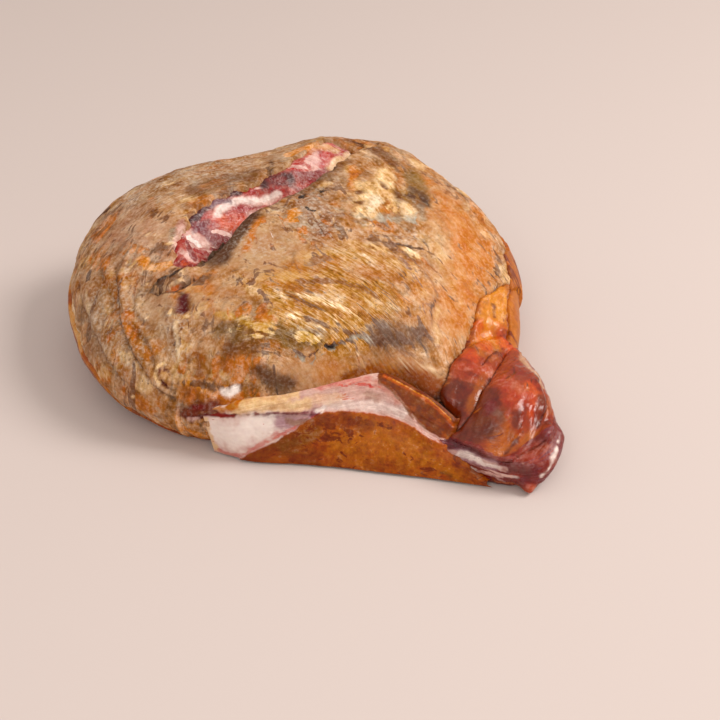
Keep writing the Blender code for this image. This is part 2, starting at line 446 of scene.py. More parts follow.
def laidOn(path, places, reach=12.0):
    # the path, moved onto the nearest of a surface's own places
    path = onTop(path)
    for place in path:
        gap = ((places - place) ** 2).sum(1)
        if gap.min() < reach**2:
            place[:] = places[gap.argmin()]
    return path


# how the meat's fibres run, seen from above: each line from one place to another
grainLines = (
    ((11, -5), (61, 5)), ((61, 5), (99, 17)), ((-3, -58), (51, -46)), ((51, -46), (102, -27)),
    ((-16, -77), (33, -72)), ((33, -72), (56, -62)), ((34, -87), (91, -44)), ((0, -118), (40, -100)),
    ((60, -80), (110, -40)), ((-128, -82), (-159, -31)), ((-87, -117), (-128, -82)),
    ((-30, -134), (-87, -117)), ((-108, -79), (-125, -36)), ((-77, -111), (-108, -79)),
    ((-51, -126), (-77, -111)),
    ((-32, -104), (-29, -85)), ((-29, -85), (-17, -70)), ((-60, -100), (-66, -70)),
    ((-32, -128), (-4, -120)), ((-18, -112), (10, -106)), ((4, -104), (36, -92)),
    ((-164, -20), (-149, 14)), ((-149, 14), (-127, 53)), ((-127, 53), (-99, 82)), ((-99, 82), (-60, 120)),
    ((-120, 10), (-90, 60)), ((-1, 125), (25, 90)), ((25, 90), (48, 58)),
    ((47, 126), (86, 98)), ((86, 98), (116, 72)), ((116, 72), (130, 34)),
    ((103, 36), (116, -7)), ((81, 74), (103, 36)), ((55, 91), (81, 74)),
    ((-20, 60), (-10, 20)), ((130, -40), (190, -45)), ((140, 20), (200, -10)),
)


def fibreField(step=12.0, soften=20.0):
    # two flat maps whose slopes run across and along the fibres, as near as one map can
    marks = np.array(grainLines, float)
    middle, way = marks.mean(1), marks[:, 1] - marks[:, 0]
    turn = np.arctan2(way[:, 1], way[:, 0])
    xs, ys = np.arange(-246, 247, step), np.arange(-204, 217, step)
    grid = np.stack(np.meshgrid(xs, ys, indexing="ij"), axis=-1)
    weight = 1 / (((grid[:, :, None] - middle) ** 2).sum(3) + soften**2)
    angle = np.arctan2((weight * np.sin(turn)).sum(2), (weight * np.cos(turn)).sum(2))
    angle = np.where(angle < -2, angle + 2 * math.pi, angle)
    count = len(xs) * len(ys)
    index = np.arange(count).reshape(len(xs), len(ys))
    system = np.eye(count) * 1e-4
    across, along = np.zeros(count), np.zeros(count)
    for axis in (0, 1):
        first = index[:-1].ravel() if axis == 0 else index[:, :-1].ravel()
        second = index[1:].ravel() if axis == 0 else index[:, 1:].ravel()
        a = (angle.ravel()[first] + angle.ravel()[second]) / 2
        for ends, sign in ((first, -1), (second, 1)):
            np.add.at(across, ends, sign * step * (-np.sin(a) if axis == 0 else np.cos(a)))
            np.add.at(along, ends, sign * step * (np.cos(a) if axis == 0 else np.sin(a)))
        for one, other in ((first, second), (second, first)):
            np.add.at(system, (one, one), 1)
            np.add.at(system, (one, other), -1)
    maps = [np.linalg.solve(system, side).reshape(len(xs), len(ys)) for side in (across, along)]

    def look(places):
        fx = np.clip((places[:, 0] - xs[0]) / step, 0, len(xs) - 1.001)
        fy = np.clip((places[:, 1] - ys[0]) / step, 0, len(ys) - 1.001)
        i, j = fx.astype(int), fy.astype(int)
        u, v = fx - i, fy - j
        corners = (
            ((1 - u) * (1 - v), i, j), (u * (1 - v), i + 1, j),
            ((1 - u) * v, i, j + 1), (u * v, i + 1, j + 1),
        )
        return np.column_stack([sum(share * m[a, b] for share, a, b in corners) for m in maps])

    return look


fibresAt = fibreField()
print("fibre directions laid")


def setFibres(piece, fibres):
    # in centimetres, so that the pattern's own sizes stay easy to read
    layer = piece.data.uv_layers.new(name="fibres")
    corner = np.empty(len(piece.data.loops), np.int32)
    piece.data.loops.foreach_get("vertex_index", corner)
    layer.data.foreach_set("uv", (fibres[corner] / 10).astype(np.float32).ravel())


# materials
def addNode(tree, kind, inputs=(), output=0, **settings):
    # a new node with its inputs, in their order or by name, set or linked; gives the output that is read
    node = tree.nodes.new("ShaderNode" + kind)
    for key, value in settings.items():
        setattr(node, key, value)
    for key, value in inputs.items() if isinstance(inputs, dict) else enumerate(inputs):
        if isinstance(value, bpy.types.NodeSocket):
            tree.links.new(value, node.inputs[key])
        else:
            node.inputs[key].default_value = value
    return node.outputs[output]


def meatMaterial(name, streak, mottle, speck, dust, dryRough, wetRough, bump, subsurface=0.0, specular=0.5,
                 streakSize=(1.5, 20.0), smearSize=(7.0, 26.0), mottleSize=(15.0, 3.0),
                 fleckSize=3.846, speckSize=2.083, veinSize=9.091, foldSize=(9.0, 40.0),
                 speckColour="darkMauve", vein=0.0, saturation=1.0, pale=0.3, crease=0.0):
    # sizes in millimetres: across and along the fibres, or of the coarse and the fine mottling
    made = bpy.data.materials.new(name)
    made.use_nodes = True
    tree = made.node_tree
    shader = tree.nodes["Principled BSDF"]
    add = partial(addNode, tree)
    place = add("TexCoord", output="Object")
    fibreMap = add("UVMap", uv_map="fibres")
    ground, figure = (add("Attribute", attribute_name=layer) for layer in ("ground", "figure"))
    share = add("Attribute", output="Fac", attribute_name="share")
    finish = add("Attribute", attribute_name="finish").node
    fibre, wet, bloom = add("SeparateColor", (finish.outputs["Color"],)).node.outputs
    lively = finish.outputs["Alpha"]
    speckTone, mouldTone, fatTone = (hexColour(palette[tone]) for tone in (speckColour, "mouldWhite", "fat"))

    def alongFibres(wide, long, distortion):
        # a pattern drawn out along the fibres, with features of this size
        stretched = add("VectorMath", (fibreMap, (10 / wide, 10 / long, 1)), operation="MULTIPLY")
        return add("TexNoise", {"Vector": stretched, "Scale": 1.0, "Detail": 4.0, "Roughness": 0.55,
                                "Distortion": distortion})

    streaks = [alongFibres(streakSize[0] * part, streakSize[1] * part, 0.3) for part in (1.0, 0.35)]
    smear = alongFibres(*smearSize, 1.6)
    mottles = [add("TexNoise", {"Vector": place, "Scale": 1000 / size, "Detail": 5.0, "Roughness": 0.62})
               for size in mottleSize]
    # each sum runs to either side of zero, and together they lighten or darken the colour
    streakSum = add("Math", (streaks[1], 0.7, streaks[0]), operation="MULTIPLY_ADD")
    streakSum = add("Math", (streakSum, 0.85), operation="SUBTRACT")
    streakSum = add("Math", (streakSum, fibre), operation="MULTIPLY")
    mottleSum = add("Math", (mottles[1], 0.55, mottles[0]), operation="MULTIPLY_ADD")
    mottleSum = add("Math", (smear, 0.6, mottleSum), operation="MULTIPLY_ADD")
    mottleSum = add("Math", (mottleSum, 1.075), operation="SUBTRACT")
    mottleSum = add("Math", (mottleSum, lively), operation="MULTIPLY")
    level = add("Math", (mottleSum, mottle * 2, 1.0), operation="MULTIPLY_ADD")
    level = add("Math", (streakSum, streak * 2, level), operation="MULTIPLY_ADD")
    # the figure shows where a pattern, streaky along fibres and cloudy elsewhere, rises above its share
    streaky = add("Math", (fibre, 0.75), operation="MULTIPLY")
    pattern = add("Mix", {0: streaky, 2: smear, 3: streaks[0]}, data_type="FLOAT")
    limit = add("Math", (share, -0.36, 0.68), operation="MULTIPLY_ADD")
    over = add("Math", (pattern, limit), operation="SUBTRACT")
    shown = add("MapRange", (over, -0.018, 0.034, 0.0, 1.0))
    coloured = add("Mix", {0: shown, 6: ground, 7: figure}, output=2, data_type="RGBA")
    # darker parts are warmer and fuller in colour, lighter parts paler
    warmth = add("Math", (fibre, 0.05), operation="MULTIPLY")
    turned = add("Math", (streaks[0], 0.5), operation="SUBTRACT")
    turned = add("Math", (turned, warmth), operation="MULTIPLY")
    turned = add("Math", (turned, 0.475), operation="ADD")
    turned = add("Math", (mottles[0], 0.05, turned), operation="MULTIPLY_ADD")
    fullness = add("Math", (level, -0.7, saturation + 0.7), operation="MULTIPLY_ADD")
    coloured = add("HueSaturation", {"Hue": turned, "Saturation": fullness, "Value": level,
                                     "Color": coloured})
    # pale flecks, drawn out along the fibres
    flecks = add("TexNoise", {"Vector": place, "Scale": 1000 / fleckSize, "Detail": 4.0, "Roughness": 0.6})
    flecks = add("Mix", {0: fibre, 2: flecks, 3: streaks[1]}, data_type="FLOAT")
    flecks = add("MapRange", (flecks, 0.53, 0.66, 0.0, pale))
    more = add("Math", (fibre, 0.75, 0.25), operation="MULTIPLY_ADD")
    flecks = add("Math", (flecks, more), operation="MULTIPLY")
    flecks = add("Math", (flecks, lively), operation="MULTIPLY")
    lighter = add("HueSaturation", {"Saturation": 0.8, "Value": 1.45, "Color": coloured})
    coloured = add("Mix", {0: flecks, 6: coloured, 7: lighter}, output=2, data_type="RGBA")
    # thin wrinkles where a folded pattern crosses its middle, painted dark as shade in them and pressed in a
    # little by the bump
    fold = add("Math", (alongFibres(*foldSize, 1.2), 0.5), operation="SUBTRACT")
    fold = add("Math", (fold,), operation="ABSOLUTE")
    fold = add("MapRange", (fold, 0.0, 0.018, crease, 0.0))
    gathered = add("MapRange", (mottles[0], 0.46, 0.56, 0.0, 1.0))
    fold = add("Math", (fold, gathered), operation="MULTIPLY")
    fold = add("Math", (fold, lively), operation="MULTIPLY")
    darker = add("HueSaturation", {"Saturation": 1.1, "Value": 0.5, "Color": coloured})
    coloured = add("Mix", {0: fold, 6: coloured, 7: darker}, output=2, data_type="RGBA")
    # specks, gathered in patches
    specks = add("TexNoise", {"Vector": place, "Scale": 1000 / speckSize, "Detail": 2.0, "Roughness": 0.5})
    specks = add("MapRange", (specks, 0.62, 0.72, 0.0, speck))
    gathered = add("MapRange", (mottles[0], 0.42, 0.6, 0.15, 1.0))
    specks = add("Math", (specks, gathered), operation="MULTIPLY")
    specks = add("Math", (specks, lively), operation="MULTIPLY")
    coloured = add("Mix", {0: specks, 6: coloured, 7: speckTone}, output=2, data_type="RGBA")
    # bloom of white mould
    dusty = add("MapRange", (mottles[1], 0.48, 0.66, 0.0, dust))
    dusty = add("Math", (dusty, bloom), operation="MULTIPLY")
    coloured = add("Mix", {0: dusty, 6: coloured, 7: mouldTone}, output=2, data_type="RGBA")
    if vein:
        # fat runs through the lean in thin, branching lines
        line = add("TexNoise", {"Vector": place, "Scale": 1000 / veinSize, "Detail": 3.0, "Roughness": 0.55,
                                "Distortion": 0.8})
        line = add("Math", (line, 0.5), operation="SUBTRACT")
        line = add("Math", (line,), operation="ABSOLUTE")
        line = add("MapRange", (line, 0.0, 0.035, vein, 0.0))
        line = add("Math", (line, bloom), operation="MULTIPLY")
        coloured = add("Mix", {0: line, 6: coloured, 7: fatTone}, output=2, data_type="RGBA")
    rough = add("MapRange", (wet, 0.0, 1.0, dryRough, wetRough))
    rough = add("Math", (mottleSum, 0.25, rough), operation="MULTIPLY_ADD")
    height = add("Math", (mottleSum, 0.8), operation="MULTIPLY")
    height = add("Math", (streakSum, 1.2, height), operation="MULTIPLY_ADD")
    height = add("Math", (specks, -0.4, height), operation="MULTIPLY_ADD")
    height = add("Math", (fold, -1.0, height), operation="MULTIPLY_ADD")
    relief = add("Bump", {"Height": height, "Strength": bump, "Distance": 0.0014})
    for value, socket in ((coloured, "Base Color"), (rough, "Roughness"), (relief, "Normal")):
        tree.links.new(value, shader.inputs[socket])
    shader.inputs["Specular IOR Level"].default_value = specular
    if subsurface:
        shader.inputs["Subsurface Weight"].default_value = subsurface
        shader.inputs["Subsurface Radius"].default_value = (1.0, 0.45, 0.3)
        shader.inputs["Subsurface Scale"].default_value = 0.003
    return made


# air-dried crust of the cut side: matt, streaked along the fibres, with dark specks and pale bloom
crustMaterial = meatMaterial(
    "air-dried crust", streak=0.9, mottle=0.9, speck=0.7, dust=0.4, saturation=1.08, pale=0.35, crease=0.35,
    streakSize=(1.2, 22.0), mottleSize=(13.0, 2.6), smearSize=(9.0, 16.0),
    dryRough=0.62, wetRough=0.3, bump=0.7, specular=0.2)
# rind, brushed with fat: leathery, half glossy, fine pores
rindMaterial = meatMaterial(
    "cured rind", streak=0.1, mottle=0.5, speck=0.5, dust=0.2, saturation=1.2, pale=0.15,
    dryRough=0.5, wetRough=0.3, bump=0.3, specular=0.3, speckColour="rindDark")
# cut lean with fat running through it: dark red to salmon, damp
leanMaterial = meatMaterial(
    "marbled lean", streak=0.4, mottle=0.6, speck=0.3, dust=0.0, saturation=1.1, pale=0.3,
    dryRough=0.42, wetRough=0.22, bump=0.5, subsurface=0.06, vein=0.22, speckColour="purple")
# the turned-up rind with its white fat: satin, streaked along its length
flapMaterial = meatMaterial(
    "rind with its fat", streak=0.35, mottle=0.65, speck=0.15, dust=0.0, saturation=1.12, pale=0.2,
    mottleSize=(5.0, 1.8), smearSize=(8.0, 14.0),
    dryRough=0.5, wetRough=0.26, bump=0.3, subsurface=0.05, specular=0.2, speckColour="rindDark")
# skin of the shank, tight and wet: deep brown-red with a strong gloss
skinMaterial = meatMaterial(
    "wet shank skin", streak=0.5, mottle=0.6, speck=0.35, dust=0.0, saturation=1.15, pale=0.15, crease=0.15,
    dryRough=0.36, wetRough=0.15, bump=0.5, subsurface=0.03, speckColour="skinDark")
print("materials made")


def relieve(work, grooves=(), lumps=(), pits=(), steps=()):
    # depth or height, width and path of each, pushed along the surface's own normals;
    # a step's high side is left of its path
    places, normals = placesOf(work), normalsOf(work)
    push = np.zeros(len(places))
    for depth, width, path in grooves:
        push -= depth * vee(gapTo(through(laidOn(path, places)), places, width), width)
    for height, width, path in lumps:
        push += height * np.exp(-((gapTo(through(laidOn(path, places)), places, width * 3) / width) ** 2))
    for depth, width, place in pits:
        push -= depth * np.exp(-((gapTo(onTop([place]), places, width * 2) / width) ** 4))
    for height, reach, path in steps:
        line = through(laidOn(path, places))
        near = np.flatnonzero(gapTo(line, places, reach * 3) < reach * 3)
        gap, index = nearest(line, places[near])
        along = np.gradient(line[:, :3], axis=0)[index]
        side = (np.cross(normals[near], along) * (places[near] - line[index, :3])).sum(1)
        taper = smooth(np.minimum(index, len(line) - 1 - index) / 20)
        push[near] += height * taper * np.exp(-((gap / reach) ** 2)) * (side > 0)
    setPlaces(work, places + normals * push[:, None])


def zoneMask(places, zones, width=10.0):
    # 1 inside each zone, given as a path and how far it reaches to either side
    mask = np.zeros(len(places))
    for strength, reach, path in zones:
        gap = gapTo(through(onTop(path), 60), places, reach + width)
        mask = np.maximum(mask, strength * smooth((reach - gap) / width + 0.5))
    return mask


# how far the edges of rind and skin stray: by how much, size of the waves, octaves, shift
edgeWaves = dict(rind=((3.0, 22.0, 3, 5.0),), skin=((1.5, 9.0, 3, 2.0),))
# height of the rind's upper edge round the leg: azimuth, height
rindEdge = (
    (-165, 52), (-149, 49), (-142, 43), (-135, 40), (-125, 32), (-112, 14), (-100, 5),
    (-60, 2), (-25, 8), (-10, 28), (0, 35), (13, 41), (22, 47), (30, 51),
    (41, 62), (60, 56), (90, 50), (120, 48), (150, 50), (180, 52),
)


def rindShare(places, shift=0.0):
    # 1 well below the rind's edge and 0 above it
    azimuth, _ = polar(places)
    rows = np.array([(a + turn, h) for turn in (-360, 0, 360) for a, h in rindEdge], float)
    edge = np.interp(azimuth, rows[:, 0], rows[:, 1]) + uneven(places, edgeWaves["rind"]) + shift
    return smooth((edge - places[:, 2]) / 2.4 + 0.5)


# where the shank's skin begins, seen from above; it lies to the right of this line
skinEdge = (
    (112, -90), (121, -58), (127, -42), (127, -28), (124, -12), (125, 3), (124, 16), (122, 30), (118, 45),
    (115, 60), (118, 74), (120, 90), (126, 110),
)


def skinShare(places):
    line = through(np.column_stack([skinEdge, np.zeros(len(skinEdge))]))
    gap, index = nearest(line, places, 2)
    side = -leftOf(line, index, places)
    return smooth((gap * side + uneven(places, edgeWaves["skin"])) / 2.0 + 0.5)


# the cut meat lying in the bone's opening
meat = dict(
    cells=(330, 90), sunk=3.2, hiddenDrop=4, spread=1.5, points=240, pointGap=0.9, lowest=60,
    # unevenness of the opening's edge and of the meat: height, size, octaves, shift
    ragged=((3.0, 8.0, 4, 14.0), (3.0, 22.0, 2, 15.0)), lumps=((1.1, 9.0, 3, 17.0), (0.4, 2.5, 2, 18.0)),
    # its near edge: place, then how far it reaches behind
    path=(
        (-64, -56, 0, 16), (-70, -38, 0, 22), (-74, -11, 0, 25), (-73, 11, 0, 26), (-63, 32, 0, 26),
        (-46, 50, 0, 32), (-33, 68, 0, 36), (-26, 106, 0, 36), (-22, 122, 0, 32), (-20, 128, 0, 20),
    ),
    base="lean", fleck="meatFat", share=0.2,
    groundTones=(("rose", 12.0, 0.0, 0.7, 31.0), ("deepRed", 8.0, 0.05, 0.8, 32.0)),
    figureTones=(("pinkFat", 8.0, 0.2, 1.0, 33.0),),
    grounds=(
        ("purple", 6, 0.9, ((-96, -8), (-88, -4), (-80, -4))),
        ("deepRed", 6, 0.9, ((-76, -2), (-72, -20), (-68, -36))),
        ("deepRed", 5, 0.8, ((-82, 2), (-76, 8))),
        ("coral", 8, 0.7, ((-82, 16), (-76, 24))),
        ("lean", 5, 0.9, ((-80, -14), (-76, -22), (-72, -32))),
        ("meatFat", 5, 0.95, ((-94, -17), (-88, -15), (-83, -13))),
        ("meatFat", 4, 0.9, ((-88, -25), (-83, -23))),
        ("meatFat", 3.5, 0.8, ((-84, -40), (-76, -38))),
        ("deepRed", 5, 0.95, ((-80, -52), (-72, -48), (-66, -44))),
        ("coral", 2.5, 0.9, ((-78, -50), (-70, -48))),
        ("meatFat", 4, 1.0, ((-88, 14), (-88, 24), (-84, 34), (-77, 41), (-70, 47), (-60, 57))),
        ("meatFat", 3, 0.9, ((-72, 30), (-66, 24), (-62, 22))),
        ("pinkFat", 4, 0.8, ((-71, 36), (-60, 46), (-50, 56))),
        ("deepRed", 3, 0.8, ((-66, 38), (-56, 50), (-46, 62))),
        ("rose", 9, 0.5, ((-60, 84), (-54, 98), (-48, 112))),
        ("meatFat", 4, 0.8, ((-62, 112), (-54, 106), (-50, 98))),
        ("creamFat", 5, 1.0, ((-40, 106), (-38, 118), (-34, 130))),
        ("creamFat", 4, 0.8, ((-62, 116), (-54, 122), (-46, 126))),
    ),
    solids=(
        ("coral", 5, 0.75, ((-84, 14), (-80, 22), (-74, 30))),
        # painted shade along the meat's far edge, where it dips under the crust
        ("hollowShade", 4, 0.95, ((-98, -6), (-98, 4), (-98, 14), (-97, 24), (-92, 34), (-86, 42))),
        ("fat", 2.6, 0.7, ((-88, 14), (-88, 23), (-84, 34), (-77, 41), (-70, 48), (-60, 58))),
        ("deepRed", 3, 0.7, ((-94, -6), (-88, -4), (-82, -2))),
        ("purple", 3, 0.8, ((-92, -12), (-91, -4), (-90, 4))),
        ("darkLilac", 2.6, 0.9, ((-94, 16), (-91, 25), (-87, 31))),
        # painted shade in a hollow of the meat
        ("hollowShade", 7, 0.95, ((-71, 60), (-65, 66), (-58, 72))),
        ("deepRed", 4, 0.7, ((-68, 62), (-62, 67))),
        ("deepRed", 5, 0.8, ((-54, 80), (-46, 92), (-42, 102))),
        ("orange", 3, 0.5, ((-62, 104), (-58, 114), (-52, 124))),
        ("deepRed", 4, 0.9, ((-67, -44), (-73, -20), (-75, 0), (-73, 14))),
        # painted shadow under the crust's near lip
        ("hollowShade", 2.2, 0.8, ((-66, -46), (-71, -24), (-73, 0), (-71, 14), (-62, 30))),
    ),
    strokes=(
        ("deepRed", 3, 0.9, ((-86, -30), (-82, -34), (-76, -36))),
        ("meatFat", 1.4, 1.0, ((-84, 2), (-79, 9), (-75, 12), (-72, 8))),
        ("lean", 2.5, 0.9, ((-84, -24), (-79, -18))),
        ("fat", 2.2, 0.7, ((-92, -20), (-85, -17))),
        ("meatFat", 2.4, 0.7, ((-62, 82), (-56, 92), (-56, 104))),
        ("deepRed", 4, 0.8, ((-52, 84), (-46, 96))),
    ),
)


def meatPlace(along, across):
    path = through(meat["path"], meat["points"])
    at = np.linspace(0, 1, len(path))
    way = np.gradient(path[:, :2], axis=0)
    way /= np.linalg.norm(way, axis=1)[:, None]
    middle = np.column_stack([np.interp(along, at, column) for column in path.T])
    side = np.column_stack([np.interp(along, at, -way[:, 1]), np.interp(along, at, way[:, 0])])
    flat = middle[:, :2] + side * (across * middle[:, 3])[:, None]
    return np.column_stack([flat, np.zeros(len(flat))])


def openingShare(places):
    # 1 where the crust is cut away over the opening
    path = through(meat["path"], meat["points"])
    gap, index = nearest(path, places, 2)
    across = gap * leftOf(path, index, places)
    fromEdge = np.minimum(path[index, 3] - across, across)
    fromEnd = np.minimum(index, len(path) - 1 - index) * meat["pointGap"]
    high = places[:, 2] > meat["lowest"]
    return smooth((np.minimum(fromEdge, fromEnd) + uneven(places, meat["ragged"]) - 1) / 1.8) * high


def makeMeat():
    work, grid = sheet(meat["cells"])
    # the sheet reaches past the opening's edges, where it dips under the crust
    start = meatPlace(grid[:, 0], (grid[:, 1] - 0.5) * meat["spread"] + 0.5)
    start[:, 2] = topHeight(start)
    share = openingShare(start)
    places = start.copy()
    places[:, 2] += uneven(start, meat["lumps"]) - meat["sunk"] * share - meat["hiddenDrop"] * (1 - share)
    setPlaces(work, places)
    bmesh.ops.recalc_face_normals(work, faces=work.faces[:])
    faceOutward(work, (0, 0, 1))
    painted = paint(start, wander(start, 5.0), meat)
    piece = finishPiece("openingMeat", work, leanMaterial)
    setLook(piece, painted, fibresAt(places), fibre=0.5, wet=0.6, bloom=0.8)


makeMeat()


# creases and folds of the crust, shaped along these lines, most of them painted with dark lines along them as
# shade in the creases
folds = dict(
    outer=((-128, -66, 85), (-114, -82, 79), (-105, -97, 73), (-89, -114, 67), (-69, -127, 58),
           (-51, -134, 48), (-36, -135, 41)),
    lower=((-161, -71, 62), (-134, -97, 59), (-109, -117, 53), (-84, -132, 44), (-62, -137, 37)),
    inner=((-99, -104, 71), (-81, -111, 72), (-62, -121, 67), (-49, -130, 55), (-37, -133, 46)),
    left=((-152, -50, 80), (-148, -57, 79), (-127, -78, 78), (-115, -90, 75)),
    high=((-120, -30), (-124, -60), (-112, -84), (-96, -100), (-80, -110)),
    short=((-98, -60), (-100, -80), (-88, -98), (-70, -110)),
    corner=((-62, -50), (-76, -65), (-83, -74), (-85, -83)),
    torn=((-49, -127, 59), (-47, -131, 54), (-42, -133, 49)),
)


